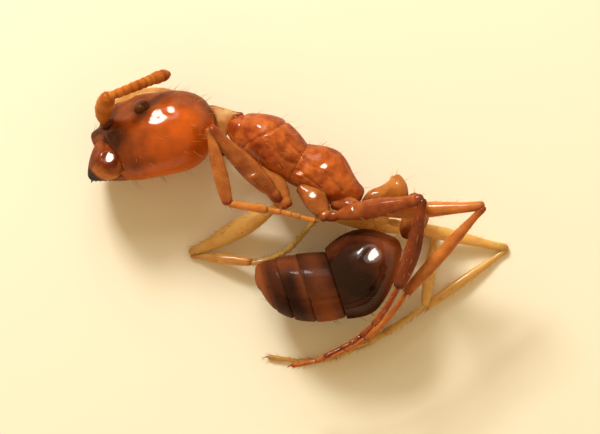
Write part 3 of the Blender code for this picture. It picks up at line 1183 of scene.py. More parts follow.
# --- the ant -------------------------------------------------------------------------------------
@dataclass
class Head(Part):
    """The head capsule with its lip, sockets and eyes."""

    capsule: Plate = Plate(
        "head",
        "head_capsule",
        Cuticles.HEAD,
        (0.012, 0.05, 0.11, 0.19, 0.29, 0.41, 0.54, 0.67, 0.79, 0.88, 0.945, 0.985),
        caps=(0.25, 0.3),
        sides=24,
        levels=3,
        fullness=2.2,
        works=(
            Groove(((0.10, 24.0), (0.17, 22.0), (0.27, 17.0), (0.36, 12.0)), 0.022, -0.016),
            Groove(((0.05, 0.0), (0.20, 0.0), (0.45, 0.0)), 0.016, 0.006, ONCE),
            Groove(((0.04, 62.0), (0.09, 76.0), (0.12, 98.0), (0.15, 128.0)), 0.018, 0.014),
            Groove(((0.14, 84.0), (0.22, 74.0), (0.33, 66.0)), 0.020, 0.006),
            Groove(((0.955, 0.0), (0.955, 60.0), (0.955, 120.0), (0.955, 180.0)), 0.014, 0.012),
            Groove(((0.12, 180.0), (0.50, 180.0), (0.93, 180.0)), 0.016, 0.010, ONCE),
            Groove(((0.14, 152.0), (0.22, 146.0), (0.30, 158.0)), 0.018, 0.010),
            Swell(0.0, 40.0, 0.13, 0.020),
            Swell(0.20, 118.0, 0.22, 0.018),
            Swell(0.13, 50.0, 0.11, -0.030),
            Swell(0.42, 60.0, 0.16, -0.010),
            Swell(0.80, 55.0, 0.34, 0.012),
            Swell(0.17, 0.0, 0.30, 0.075, ONCE),
            Swell(0.38, 10.0, 0.22, 0.020, ONCE),
        ),
        flats=(Flat(0.52, 61.5, 0.15, 0.5), Flat(0.63, 57.5, 0.10, 0.5)),
        base=0.04,
        shades=(
            Shade(0.62, along=(0.80, 0.08)),
            # The next two: a darker crown, partly its own colour and partly painted shade that tones down
            # where the lamps light the top most
            Shade(0.50, (0.25, 0.60), (82.0, 20.0)),
            Shade(0.14, (0.60, 0.25), (60.0, 14.0)),
            # Painted shade on the upper rear, which faces the lamps
            Shade(0.16, (0.50, 0.90), (100.0, 56.0)),
            # Painted light on the lower flank, standing for light that shines through the head
            Shade(-0.12, (0.22, 0.50), (90.0, 120.0)),
            Shade(0.40, (0.09, 0.0), (100.0, 60.0)),
            # Painted shade along the belly
            Shade(0.10, around=(135.0, 170.0)),
            Shade(0.30, along=(0.95, 1.0)),
            # Painted light on the front of the underside, where shade falls
            Shade(-0.34, (0.75, 0.45), (122.0, 148.0)),
        ),
    )
    flanks: tuple[float, ...] = (1.0, 1.0, 1.0, 1.0, 1.02, 1.04, 1.03, 1.01, 0.985, 0.965, 0.95, 0.95)
    jaw_base: tuple[float, float] = (0.16, 88.0)  # the share and degrees of the dark cheek by a jaw
    collar: Steps = ((1.0, 0.9), (0.6, 1.25), (0.25, 1.2), (0.0, 0.95), (-0.12, 0.72))
    collar_radius: float = 0.085
    collar_depth: float = 0.20
    collar_tone: float = 0.80
    facet_steps: int = 2  # how finely the ball is cut that gives the eye its facets
    facet_cut: float = 33.0  # how far its corners are cut back, as a percentage of each edge
    facet_dome: float = 0.035
    lip_run: tuple[float, float, float] = (-0.99, -0.12, 0.0)
    lip_place: float = 0.27  # its share of the head's length
    lip_lift: float = 0.085  # its middle's height over the jaws' lowest point
    lip: tuple[tuple[float, float, float], ...] = (
        (-0.10, 0.070, 0.15),
        (0.0, 0.080, 0.19),
        (0.10, 0.075, 0.17),
        (0.19, 0.055, 0.12),
        (0.25, 0.03, 0.08),
    )

    def build(self) -> None:
        """Makes every piece of the head."""
        self.make_capsule()
        for side in Side:
            self.make_socket(side)
            self.make_eye(side)
        self.make_lip()

    def scape_root(self, side: Side) -> Vector:
        """The point where a feeler enters the head."""
        scape = Gauge(f"antenna_{side.word}_scape")
        return scape.bent(Gauge("mandible_left", "mandible_right").middle, BACK, (0.06,))[0].centre

    def make_capsule(self) -> None:
        """Lofts the capsule and paints it. Its face, sockets, jaw bases and hind rim are darker. Its crown
        is darker, partly its own colour and partly painted shade. Its upper rear and belly get painted
        shade, and its lower flank and underside get painted light.
        """
        slices = [section.grown(1.0, flank) for section, flank in zip(self.capsule.measure(), self.flanks)]
        capsule = self.capsule.loft(slices)
        places = places_of(capsule.piece)
        tone = capsule.shade(self.capsule.base, *self.capsule.shades)
        for side in Side:
            share, degrees = self.jaw_base
            for amount, none, full, centre in (
                (0.35, 0.22, 0.05, self.scape_root(side)),
                (0.42, 0.25, 0.05, capsule.at(share, side.sign * degrees)),
                (0.30, 0.24, 0.06, Gauge(f"eye_{side.word}").middle),
            ):
                tone += amount * ramp(np.linalg.norm(places - np.array(centre), axis=1), none, full)
        paint(capsule.piece, tone)
        self.keep(capsule, self.capsule.coat, "head")

    def make_socket(self, side: Side) -> None:
        """Lofts the collar that a feeler's ball sits in, from inside the head out to the scape.

        Args:
            side: which feeler.
        """
        root = self.scape_root(side)
        inward = (Gauge("head").middle - root).normalized()
        rings = []
        for depth, size in self.collar:
            radius = self.collar_radius * size
            rings.append(Section(root + inward * (self.collar_depth * depth), -inward, BACK, radius, radius))
        collar = Shell.lofted(f"antenna_{side.word}_socket", rings, 16, 2)
        paint(collar.piece, self.collar_tone)
        finish_piece(collar.piece, Cuticles.HEAD.value)

    def make_eye(self, side: Side) -> None:
        """Cuts a ball into six-sided facets, domes each and flattens it to a low lens.

        Args:
            side: which eye.
        """
        gauge = Gauge(f"eye_{side.word}")
        axes = gauge.axes()
        out = Vector(axes[2]) * (1.0 if axes[2][2] * side.sign > 0 else -1.0)
        long = Vector(axes[0])
        wide = out.cross(long)
        spans = [gauge.span(direction) for direction in (long, wide, out)]
        centre = long * (sum(spans[0]) / 2) + wide * (sum(spans[1]) / 2) + out * spans[2][0]
        bpy.ops.object.select_all(action="DESELECT")
        bpy.ops.mesh.primitive_ico_sphere_add(subdivisions=self.facet_steps, radius=1.0)
        piece = bpy.context.object
        piece.name = piece.data.name = f"eye_{side.word}_lens"
        with on_the_bench(piece, "VERT"):
            bpy.ops.mesh.bevel(offset_type="PERCENT", offset_pct=self.facet_cut, affect="VERTICES")
            bpy.ops.transform.tosphere(value=1.0)
            bpy.ops.mesh.select_mode(type="FACE")
            bpy.ops.mesh.select_all(action="SELECT")
            bpy.ops.mesh.inset(use_individual=True, thickness=self.facet_dome, depth=self.facet_dome)
            number_elements()
        subdivide(piece, 1)
        turn = Matrix((long, wide, out)).transposed().to_4x4()
        length, width, height = (high - low for low, high in spans)
        sizes = Matrix.Diagonal((length / 2, width / 2, height, 1.0))
        piece.data.transform(Matrix.Translation(centre) @ turn @ sizes)
        finish_piece(piece, Facets(), [f"eye_{side.word}"])

    def make_lip(self) -> None:
        """Shapes the amber mouthparts that show below the jaws."""
        low, high = Gauge("head").span(TAIL)
        floor = Gauge("mandible_left", "mandible_right").span(BACK)[0]
        centre = Vector((low + self.lip_place * (high - low), floor + self.lip_lift, Gauge("head").middle.z))
        along = Vector(self.lip_run)
        sections = [Section(centre + along * step, along, BACK, tall, wide) for step, tall, wide in self.lip]
        lip = Shell.lofted("lower_lip", capped(sections), 14, 2)
        paint(lip.piece, 0.25 + 0.3 * lip.spread(places_of(lip.piece))[0])
        finish_piece(lip.piece, Cuticles.JAW.value)


@dataclass
class Mandibles:
    """The two jaws, each a curved three-cornered blade with teeth along its biting edge."""

    slices: tuple[float, ...] = (0.18, 0.30, 0.45, 0.60, 0.74, 0.86, 0.95)
    heights: tuple[float, ...] = (1.28, 1.22, 1.12, 1.05, 1.02, 1.0, 1.0)
    ridges: tuple[float, ...] = (-12.0, -38.0, -64.0, -90.0, -116.0)
    root: float = 0.16
    sink: float = 0.11
    lift: float = 0.175  # how far a slice rises for each unit that it is heightened
    teeth: int = 5
    tooth_length: float = 0.060
    tooth_radius: float = 0.028
    tooth_root: float = 0.03
    tooth_loss: float = 0.12  # how much smaller each tooth is than the one before
    first_tooth: tuple[float, float] = (0.97, 118.0)  # its share of the blade and degrees
    tooth_step: tuple[float, float] = (-0.085, 9.0)  # from one tooth to the next

    def build(self) -> None:
        """Makes both jaws."""
        for side in Side:
            self.make_jaw(side)

    def make_jaw(self, side: Side) -> None:
        """Lofts a blade, hollows its inner face, rules its outer face and sets its teeth.

        Args:
            side: which jaw.
        """
        node, sign = f"mandible_{side.word}", side.sign
        along = Vector((-0.78, -0.52, -0.36 * sign)).normalized()
        slices = []
        for section, tall in zip(Gauge(node).straight(along, BACK, self.slices), self.heights):
            centre = section.centre + BACK * (self.lift * (tall - 1.0))
            slices.append(replace(section.grown(tall, 1.0), centre=centre))
        base = slices[0].grown(0.80, step=-self.root)
        slices.insert(0, replace(base, centre=base.centre - LEFT * (self.sink * sign)))
        jaw = Shell.lofted(f"jaw_{side.word}", capped(slices, 0.2, 0.3), 18, 3)
        jaw.carve(
            Swell(0.55, 95.0 * sign, 0.20, -0.035, ONCE),
            Swell(0.42, -98.0 * sign, 0.27, 0.085, ONCE),
            *(
                Groove(tuple((share, degrees * sign) for share in (0.34, 0.60, 0.88)), 0.012, 0.004, ONCE)
                for degrees in self.ridges
            ),
        )
        jaw.flatten(Flat(0.285, -97.0, 0.12, 0.9, (sign,)))
        places = places_of(jaw.piece)
        heights = (places[:, 1] - places[:, 1].min()) / np.ptp(places[:, 1])
        lower = ramp(heights, 0.42, 0.14) * jaw.shade(0.0, Shade(0.44, (0.18, 0.40, 0.78, 0.62)))
        paint(jaw.piece, jaw.shade(0.48, Shade(0.80, (0.68, 0.86))) - lower)
        piece = join([jaw.piece, *self.make_teeth(side, jaw)])
        finish_piece(piece, Cuticles.JAW.value, [node])

    def make_teeth(self, side: Side, jaw: Shell) -> list[Piece]:
        """Makes a jaw's row of teeth, the longest at its tip.

        Args:
            side: which jaw.
            jaw: its blade.

        Returns:
            The teeth.
        """
        made = []
        heading = Vector((-0.42, -0.72, -0.30 * side.sign)).normalized()
        for index in range(self.teeth):
            share, degrees = (a + b * index for a, b in zip(self.first_tooth, self.tooth_step))
            root = jaw.slice_at(share).rim(side.sign * degrees)
            size = 1.0 - self.tooth_loss * index
            tip = root + heading * (self.tooth_length * size)
            name = f"jaw_{side.word}_tooth_{index}"
            sunk = root - heading * self.tooth_root
            made.append(thorn(name, sunk, tip, Vector(), self.tooth_radius * size, 1.0))
        return made


@dataclass
class Antennae(Part):
    """Both feelers: scape, a funiculus of beads, and a club of two joints."""

    scape_slices: int = 14
    scape_places: Band = (0.0, 0.05, 0.10, 0.20, 0.9, 1.0)
    scape_sizes: Band = (0.66, 0.90, 0.80, 1.22, 1.22, 0.98)
    far_height: float = 1.5  # how much deeper the far scape is than measured
    far_width: float = 0.95
    beads: int = 7
    club_beads: int = 2
    bead_slices: int = 6
    waist: float = 0.86
    bulge: float = 1.06
    bead_end: float = 0.35

    def build(self) -> None:
        """Makes the three lengths of each feeler."""
        for side in Side:
            scape = self.make_scape(side)
            funiculus = self.make_beads(side, "funiculus", scape, self.beads)
            self.make_beads(side, "club", funiculus, self.club_beads)

    def make_scape(self, side: Side) -> Shell:
        """Lofts the long first joint from its ball to its thick end.

        Args:
            side: which feeler.

        Returns:
            The finished shell.
        """
        near = side is Side.LEFT
        node = f"antenna_{side.word}_scape"
        start = Gauge("mandible_left", "mandible_right").middle
        places = np.linspace(0.03, 0.985, self.scape_slices)
        slices = Gauge(node).bent(start, TAIL if near else BACK, places)
        shares = np.linspace(0.0, 1.0, self.scape_slices)
        sizes = np.interp(shares, self.scape_places, self.scape_sizes)
        slices = [section.grown(float(size)) for section, size in zip(slices, sizes)]
        if not near:
            slices = [section.grown(self.far_height, self.far_width) for section in slices]
        scape = Shell.lofted(node + "_shell", capped(slices), 16, 2)
        base = 0.14 if near else 0.36
        paint(scape.piece, scape.shade(base, Shade(0.25, (0.80, 1.0)), Shade(0.3, (0.18, 0.0))))
        # The far scape takes the far legs' lighter cuticle: painted light for the bright band it makes
        # behind the head
        return self.keep(scape, Cuticles.FEELER if near else Cuticles.FAR_LEG_PAINTED_LIGHT, node, Slot.ANTENNA)

    def make_beads(self, side: Side, part: str, before: Shell, beads: int) -> Shell:
        """Lofts a run of joints, each narrowest where it meets the next.

        Args:
            side: which feeler.
            part: funiculus or club.
            before: the length that it grows from.
            beads: how many joints.

        Returns:
            The finished shell.
        """
        node = f"antenna_{side.word}_{part}"
        rings = self.bead_slices * beads + 1
        slices = Gauge(node).bent(before.end, BACK, np.linspace(0.01, 0.99, rings))
        wave = np.abs(np.sin(np.pi * beads * np.linspace(0.0, 1.0, rings))) ** 0.55
        wave[[0, -1]] = self.bead_end
        sizes = [self.waist + (self.bulge - self.waist) * float(size) for size in wave]
        slices = [section.grown(size) for section, size in zip(slices, sizes)]
        shell = Shell.lofted(node + "_joints", capped(slices, 0.3, 0.6), 12, 1)
        shares = shell.spread(places_of(shell.piece))[0]
        tone = 0.30 + 0.45 * ramp(shares, 0.62, 0.95) if part == "club" else 0.14 + 0.10 * shares
        paint(shell.piece, tone + 0.20 * np.abs(np.cos(np.pi * beads * shares)) ** 6)
        return self.keep(shell, Cuticles.FEELER, node)


@dataclass
class Trunk(Part):
    """The trunk's two halves, the neck, the petiole and the postpetiole."""

    front: Plate = Plate(
        "mesosoma_front",
        "trunk_front",
        Cuticles.TRUNK,
        (0.012, 0.06, 0.13, 0.22, 0.33, 0.45, 0.58, 0.70, 0.82, 0.92, 0.985),
        slope=-27.0,
        ends=((1.0, 0.0), (0.985, 0.012), (0.92, 0.06)),
        caps=(0.3, 0.0),
        sides=24,
        levels=3,
        fullness=2.2,
        works=(
            Groove(((0.13, 0.0), (0.13, 60.0), (0.15, 120.0)), 0.020, 0.016),
            Groove(
                ((0.62, 0.0), (0.60, 30.0), (0.53, 62.0), (0.40, 92.0), (0.32, 122.0), (0.28, 150.0)),
                0.018,
                0.022,
            ),
            Groove(((0.58, 48.0), (0.74, 62.0), (0.88, 66.0), (1.0, 64.0)), 0.016, 0.018),
            Groove(((0.50, 84.0), (0.68, 98.0), (0.86, 100.0), (0.97, 92.0)), 0.020, 0.014),
            Swell(0.36, 40.0, 0.24, 0.018),
            Swell(0.68, 118.0, 0.20, 0.034),
            Swell(0.86, 82.0, 0.10, 0.020),
            Swell(0.30, 96.0, 0.16, -0.020),
            Swell(0.95, 62.0, 0.035, -0.012),
            Swell(0.80, 24.0, 0.20, 0.010),
        ),
        base=0.18,
        shades=(
            Shade(0.26, along=(0.20, 0.0)),
            Shade(0.16, around=(62.0, 90.0, 125.0, 100.0)),
            # Painted shade along the lower flank, where the coxae meet it
            Shade(0.26, (0.26, 0.44, 0.76, 0.58), (92.0, 112.0, 156.0, 136.0)),
            # Painted shade on the back, which tones down where the lamps light the top most
            Shade(0.34, around=(66.0, 20.0)),
            # Painted light on the lower side, where shade falls
            Shade(-0.10, around=(110.0, 140.0)),
        ),
    )
    rear: Plate = Plate(
        "mesosoma_rear",
        "trunk_rear",
        Cuticles.TRUNK,
        (0.012, 0.07, 0.16, 0.27, 0.38, 0.50, 0.62, 0.73, 0.83, 0.91, 0.97),
        slope=-27.0,
        starts=((0.975, -0.015), (1.0, 0.0)),
        caps=(0.0, 0.2),
        sides=24,
        levels=3,
        fullness=2.2,
        works=(
            Groove(((0.05, 70.0), (0.20, 86.0), (0.45, 92.0), (0.72, 98.0)), 0.017, 0.018),
            Groove(((0.02, 108.0), (0.20, 116.0), (0.44, 128.0)), 0.017, 0.016),
            Groove(((0.50, 0.0), (0.72, 0.0), (0.86, 0.0)), 0.030, 0.012, ONCE),
            Groove(((0.46, 34.0), (0.62, 44.0), (0.80, 58.0)), 0.016, -0.010),
            Swell(0.18, 104.0, 0.12, 0.022),
            Swell(0.60, 112.0, 0.13, 0.034),
            Swell(0.42, 74.0, 0.045, 0.016),
            Swell(0.42, 74.0, 0.022, -0.026),
            Swell(0.26, 34.0, 0.18, 0.016),
            Swell(0.86, 90.0, 0.10, -0.012),
        ),
        flats=(Flat(0.34, 80.0, 0.085, 0.75), Flat(0.10, 112.0, 0.075, 0.75)),
        base=0.20,
        shades=(
            Shade(0.15, along=(0.8, 1.0)),
            # Painted shade on the back, which tones down where the lamps light the top most
            Shade(0.36, around=(70.0, 20.0)),
            Shade(0.06, around=(90.0, 130.0)),
        ),
    )
    neck: Plate = Plate(
        "neck",
        "neck_skin",
        Cuticles.MEMBRANE,
        (0.04, 0.2, 0.4, 0.6, 0.8, 0.96),
        starts=((1.0, -0.06), (1.0, 0.0)),
        ends=((1.0, 0.0), (1.0, 0.06)),
        caps=(0.0, 0.0),
        sides=24,
        fullness=2.6,
        works=(Groove(((0.0, 12.0), (0.5, 10.0), (1.0, 10.0)), 0.022, -0.012),),
        base=0.06,
        shades=(
            Shade(0.55, around=(36.0, 10.0)),
            Shade(0.75, around=(130.0, 170.0)),
            Shade(0.5, along=(0.2, 0.0)),
            Shade(0.45, along=(0.8, 1.0)),
            Shade(0.50, around=(66.0, 92.0)),
        ),
    )
    petiole: Plate = Plate(
        "petiole",
        "petiole_shell",
        Cuticles.WAIST,
        (0.03, 0.13, 0.26, 0.40, 0.54, 0.66, 0.76, 0.85, 0.92, 0.97),
        slope=8.0,
        caps=(0.3, 0.2),
        fullness=2.1,
        works=(
            Groove(((0.50, 90.0), (0.62, 60.0), (0.68, 30.0), (0.70, 0.0)), 0.020, -0.008),
            Groove(((0.20, 180.0), (0.45, 180.0), (0.60, 180.0)), 0.020, -0.014, ONCE),
            Swell(0.58, 96.0, 0.08, -0.010),
        ),
        base=0.30,
        shades=(
            Shade(0.35, along=(0.30, 0.0)),
            Shade(0.2, around=(110.0, 170.0)),
            Shade(0.25, along=(0.94, 1.0)),
        ),
    )
    postpetiole: Plate = Plate(
        "postpetiole",
        "postpetiole_shell",
        Cuticles.WAIST,
        tuple(np.linspace(0.04, 0.96, 11)),
        near="petiole",
        caps=(0.4, 0.3),
        works=(Groove(((0.12, 0.0), (0.12, 90.0), (0.12, 180.0)), 0.02, 0.012),),
        base=0.62,
        shades=(Shade(0.2, along=(0.7, 1.0)), Shade(-0.2, along=(0.2, 0.5, 0.8, 0.5))),
    )

    def build(self) -> None:
        """Makes the plates from head to gaster."""
        for plate in (self.front, self.rear, self.neck, self.petiole, self.postpetiole):
            shell = plate.loft(plate.measure())
            paint(shell.piece, shell.shade(plate.base, *plate.shades))
            self.keep(shell, plate.coat, plate.node)


def gaster_plate(node: str, coat: Cuticles, base: float, shades: tuple[Shade, ...], **own: object) -> Plate:
    """A plate of the gaster, which laps over the next one and is tucked under the one before.

    Args:
        node: its CAD node.
        coat: its cuticle.
        base: its tone.
        shades: what is added to the tone.
        **own: what else sets it apart.

    Returns:
        Its recipe.
    """
    plate = Plate(
        node,
        node + "_shell",
        coat,
        (0.02, 0.06, 0.14, 0.28, 0.42, 0.56, 0.70, 0.84, 0.93, 0.98),
        slope=18.0,
        starts=((0.92, 0.050), (0.992, 0.0), (1.0, 0.008)),
        ends=((1.0, 0.0), (0.985, 0.02475), (0.93, 0.055)),
        caps=(0.0, 0.0),
        sides=28,
        fullness=2.15,
        works=(
            Groove(((0.16, 0.0), (0.16, 60.0), (0.16, 120.0), (0.16, 180.0)), 0.016, 0.006),
            Groove(((0.10, 112.0), (0.50, 112.0), (0.95, 112.0)), 0.014, 0.009),
        ),
        base=base,
        shades=shades,
    )
    return replace(plate, **own)


@dataclass
class Gaster(Part):
    """The four plates of the gaster, each with a line between its back and belly halves."""

    plates: tuple[Plate, ...] = (
        gaster_plate(
            "gaster_tip",
            Cuticles.GASTER_END,
            0.28,
            (Shade(0.22, along=(0.1, 0.6)), Shade(0.40, (0.16, 0.55), (30.0, 80.0))),
            starts=UNCHANGED,
            caps=(0.35, 0.0),
            works=(
                Groove(((0.34, 0.0), (0.36, 60.0), (0.40, 120.0), (0.42, 180.0)), 0.014, 0.012),
                Groove(((0.42, 108.0), (0.70, 110.0), (0.98, 112.0)), 0.013, 0.008),
            ),
        ),
        gaster_plate(
            "gaster_third_plate",
            Cuticles.GASTER_END,
            0.55,
            (
                Shade(0.42, around=(40.0, 84.0)),
                Shade(-0.315, (0.35, 0.90), (40.0, 84.0)),
                Shade(-0.15, around=(130.0, 165.0)),
            ),
        ),
        gaster_plate(
            "gaster_second_plate",
            Cuticles.GASTER_END,
            0.43,
            (
                Shade(0.16, along=(0.40, 0.0)),
                Shade(0.20, along=(0.5, 0.85)),
                Shade(0.31, around=(126.0, 84.0)),
                Shade(-0.13, around=(110.0, 140.0)),
            ),
        ),
        gaster_plate(
            "gaster_first_plate",
            Cuticles.GASTER,
            1.0,
            (
                # Lighter towards the waist: partly the plate's own red-brown, partly painted light where the
                # plate turns away from the lamps
                Shade(-0.66, along=(0.40, 0.92)),
                Shade(-0.16, around=(62.0, 30.0)),
                # Painted light on the lower side, which turns away from the lamps
                Shade(-0.12, around=(108.0, 135.0)),
            ),
            ends=UNCHANGED,
            caps=(0.0, 0.3),
            works=(Groove(((0.10, 118.0), (0.40, 118.0), (0.72, 118.0)), 0.014, 0.009),),
            flats=(Flat(0.64, 80.0, 0.18, 0.65),),
        ),
    )

    def build(self) -> None:
        """Makes the plates from the tip to the first, shaded by how far along the gaster they run."""
        for plate in self.plates:
            shell = plate.loft(plate.measure())
            run = places_of(shell.piece) @ np.array(way(plate.slope))
            shares = (run - run.min()) / np.ptp(run)
            paint(shell.piece, shell.shade(plate.base, *plate.shades, shares=shares))
            self.keep(shell, plate.coat, plate.node)


@dataclass(frozen=True)
class LegPlan:
    """What tells one leg from the others: its place, side, trunk plate, tones and flats."""

    place: str
    side: Side
    trunk_node: str
    tones: tuple[float, float, float, float]
    coxa_flats: tuple[Flat, ...] = ()
    femur_flats: tuple[Flat, ...] = ()

    @property
    def stem(self) -> str:
        """How its nodes' names begin."""
        return f"leg_{self.place}_{self.side.word}"

    @property
    def coat(self) -> Cuticles:
        """Its cuticle: the far legs get a lighter copy of the near legs' one, which is painted light."""
        return Cuticles.NEAR_LEG if self.side is Side.LEFT else Cuticles.FAR_LEG_PAINTED_LIGHT


@dataclass
class Legs(Part):
    """All six legs, each from coxa to claws.  The lengths' recipes are a near leg's."""

    plans: tuple[LegPlan, ...] = (
        LegPlan(
            "fore",
            Side.LEFT,
            "mesosoma_front",
            (0.22, 0.36, 0.26, -0.08),
            femur_flats=(Flat(0.40, -14.0, 0.10, 0.8, ONCE),),
        ),
        LegPlan(
            "mid",
            Side.LEFT,
            "mesosoma_front",
            (0.34, 0.44, 0.70, 0.55),
            (Flat(0.42, -10.0, 0.09, 0.7, ONCE),),
            (Flat(0.30, -26.0, 0.07, 0.7, ONCE),),
        ),
        LegPlan("hind", Side.LEFT, "mesosoma_rear", (0.45, 0.11, 0.19, 0.21)),
        # The far legs' tones are kept light: painted light that offsets the shade the body casts on them
        LegPlan("fore", Side.RIGHT, "mesosoma_front", (0.40, 0.00, 0.26, -0.30)),
        LegPlan("mid", Side.RIGHT, "mesosoma_front", (0.40, -0.25, -0.20, -0.15)),
        LegPlan("hind", Side.RIGHT, "mesosoma_rear", (0.00, 0.02, 0.00, 0.02)),
    )
    coxa: Plate = Plate(
        "coxa",
        "",
        Cuticles.NEAR_LEG,
        (0.12, 0.25, 0.40, 0.55, 0.70, 0.83, 0.93, 0.985),
        starts=((0.9, -0.06), (1.0, 0.0)),
        caps=(0.2, 0.4),
        sides=16,
        works=(Groove(((0.84, 0.0), (0.84, 90.0), (0.84, 180.0)), 0.016, 0.010),),
        shades=(Shade(0.25, (0.14, 0.02)), Shade(0.25, (0.90, 0.99))),
    )
    femur: Plate = Plate(
        "femur",
        "",
        Cuticles.NEAR_LEG,
        (0.01, 0.03, 0.06, 0.09, 0.115, 0.145, 0.20, 0.30, 0.42, 0.55, 0.68, 0.80, 0.89, 0.95, 0.985),
        sizes=(0.9, 1.15, 1.30, 1.15, 0.78, 0.95, 1.0, 1.0, 1.0, 1.0, 1.0, 1.02, 1.12, 1.36, 1.22),
        sides=16,
        shades=(Shade(0.24, (0.14, 0.02)), Shade(0.24, (0.90, 0.99))),
    )
    tibia: Plate = Plate(
        "tibia",
        "",
        Cuticles.NEAR_LEG,
        (0.01, 0.04, 0.08, 0.13, 0.22, 0.35, 0.50, 0.65, 0.80, 0.90, 0.96, 0.99),
        sizes=(0.85, 1.10, 0.95, 0.82, 0.92, 1.0, 1.02, 1.05, 1.08, 1.10, 1.08, 0.95),
        sides=16,
        shades=(Shade(0.24, (0.14, 0.02)), Shade(0.24, (0.90, 0.99))),
    )
    joints: tuple[float, ...] = (0.0, 0.44, 0.60, 0.72, 0.82, 1.0)
    flare: Steps = ((0.0, 0.72), (0.12, 0.86), (0.45, 0.92), (0.75, 1.02), (0.93, 1.16), (1.0, 0.85))
    foot_slices: int = 40
    foot_start: tuple[int, int] = (3, 9)  # the slices that the first joint's thickness is read from
    foot_taper: float = 0.04  # how much thinner each joint is than the one before
    foot_darker: float = 0.03  # how much darker
    spur: float = 0.10
    claw: float = 0.065
    claw_radius: float = 0.010
    feet: list[Shell] = field(default_factory=list)

    def build(self) -> None:
        """Makes every leg."""
        for plan in self.plans:
            root = Gauge(plan.trunk_node).middle
            coxa = self.make_length(plan, self.coxa, root, plan.tones[0], plan.coxa_flats)
            femur = self.make_length(plan, self.femur, coxa.end, plan.tones[1], plan.femur_flats)
            tibia = self.make_length(plan, self.tibia, femur.end, plan.tones[2])
            self.make_tarsus(plan, tibia)

    def make_length(
        self, plan: LegPlan, recipe: Plate, near: Vector, base: float, flats: tuple[Flat, ...] = ()
    ) -> Shell:
        """Makes the coxa, the femur or the tibia of a leg.

        Args:
            plan: the leg.
            recipe: the length's recipe, by the last word of its node.
            near: a point near where it starts.
            base: its tone.
            flats: its flat places.

        Returns:
            The finished shell.
        """
        node = f"{plan.stem}_{recipe.node}"
        slices = Gauge(node).bent(near, LEFT, recipe.places)
        shell = replace(recipe, name=node + "_shell", flats=flats).loft(slices)
        paint(shell.piece, shell.shade(base, *recipe.shades))
        if recipe is self.tibia:
            shell.piece = join([shell.piece, self.make_spur(plan, shell.sections[-3])])
        return self.keep(shell, plan.coat, node)

    def make_spur(self, plan: LegPlan, end: Section) -> Piece:
        """Makes the thorn at a tibia's end.

        Args:
            plan: the leg.
            end: the tibia's last slice but one.

        Returns:
            The thorn.
        """
        root = end.rim(-120.0)
        tip = root + end.along.normalized() * self.spur - end.side * (0.2 * self.spur)
        return thorn(plan.stem + "_spur", root, tip, end.side * 0.01, 0.014, 0.3)

    def make_tarsus(self, plan: LegPlan, tibia: Shell) -> None:
        """Makes five joints, each flaring towards the next, and a pair of claws.

        Args:
            plan: the leg.
            tibia: the length that the tarsus grows from.
        """
        gauge = Gauge(plan.stem + "_tarsus")
        whole = gauge.bent(tibia.end, LEFT, np.linspace(0.01, 0.985, self.foot_slices))
        radii = [(section.tall + section.wide) / 2 for section in whole]
        radius, first = float(np.median(radii)), float(np.median(radii[slice(*self.foot_start)]))
        pieces = []
        for index, (start, end) in enumerate(pairwise(self.joints)):
            size = max(radius, first) if index == 0 else radius * (1.02 - self.foot_taper * index)
            sections = []
            for share, wide in self.flare:
                place = (start + (end - start) * share) * (len(whole) - 1)
                near = int(min(place, len(whole) - 2))
                centre = whole[near].centre.lerp(whole[near + 1].centre, place - near)
                sections.append(replace(whole[near], centre=centre, tall=size * wide, wide=size * wide))
            joint = Shell.lofted(f"{plan.stem}_joint_{index}", capped(sections, 0.4, 0.3), 12, 1)
            base = plan.tones[3] + self.foot_darker * index
            paint(joint.piece, joint.shade(base, Shade(0.35, (0.86, 0.98))))
            pieces.append(joint.piece)
        joined = join([*pieces, *self.make_claws(plan, whole[-1])])
        joined.name = joined.data.name = plan.stem + "_tarsus_joints"
        finish_piece(joined, plan.coat.value, [plan.stem + "_tarsus"])
        self.feet.append(Shell(joined, whole))

    def make_claws(self, plan: LegPlan, end: Section) -> list[Piece]:
        """Makes two hooked claws at a tarsus's tip.

        Args:
            plan: the leg.
            end: the last slice of the tarsus.

        Returns:
            The claws.
        """
        claws = []
        ahead = end.along.normalized()
        for sign, word in ((1.0, "inner"), (-1.0, "outer")):
            out = end.facing().col[1] * sign
            root = end.centre + out * (0.4 * end.tall)
            tip = root + ahead * self.claw + out * (0.3 * self.claw) - end.side * (0.35 * self.claw)
            curl = end.side * (0.22 * self.claw)
            claws.append(thorn(f"{plan.stem}_claw_{word}", root, tip, curl, self.claw_radius, 0.75))
        return claws


# --- bristles ------------------------------------------------------------------------------------
@dataclass(frozen=True)
class Growth:
    """How bristles grow on a kind of surface.  Lengths are in millimetres."""

    density: float
    length: float
    radius: float
    lean: float
    bend: float = 0.25
    stray: float = 0.18
    lengths: tuple[float, float] = (0.55, 1.15)
    taper: float = 0.8
    sink: float = 0.004


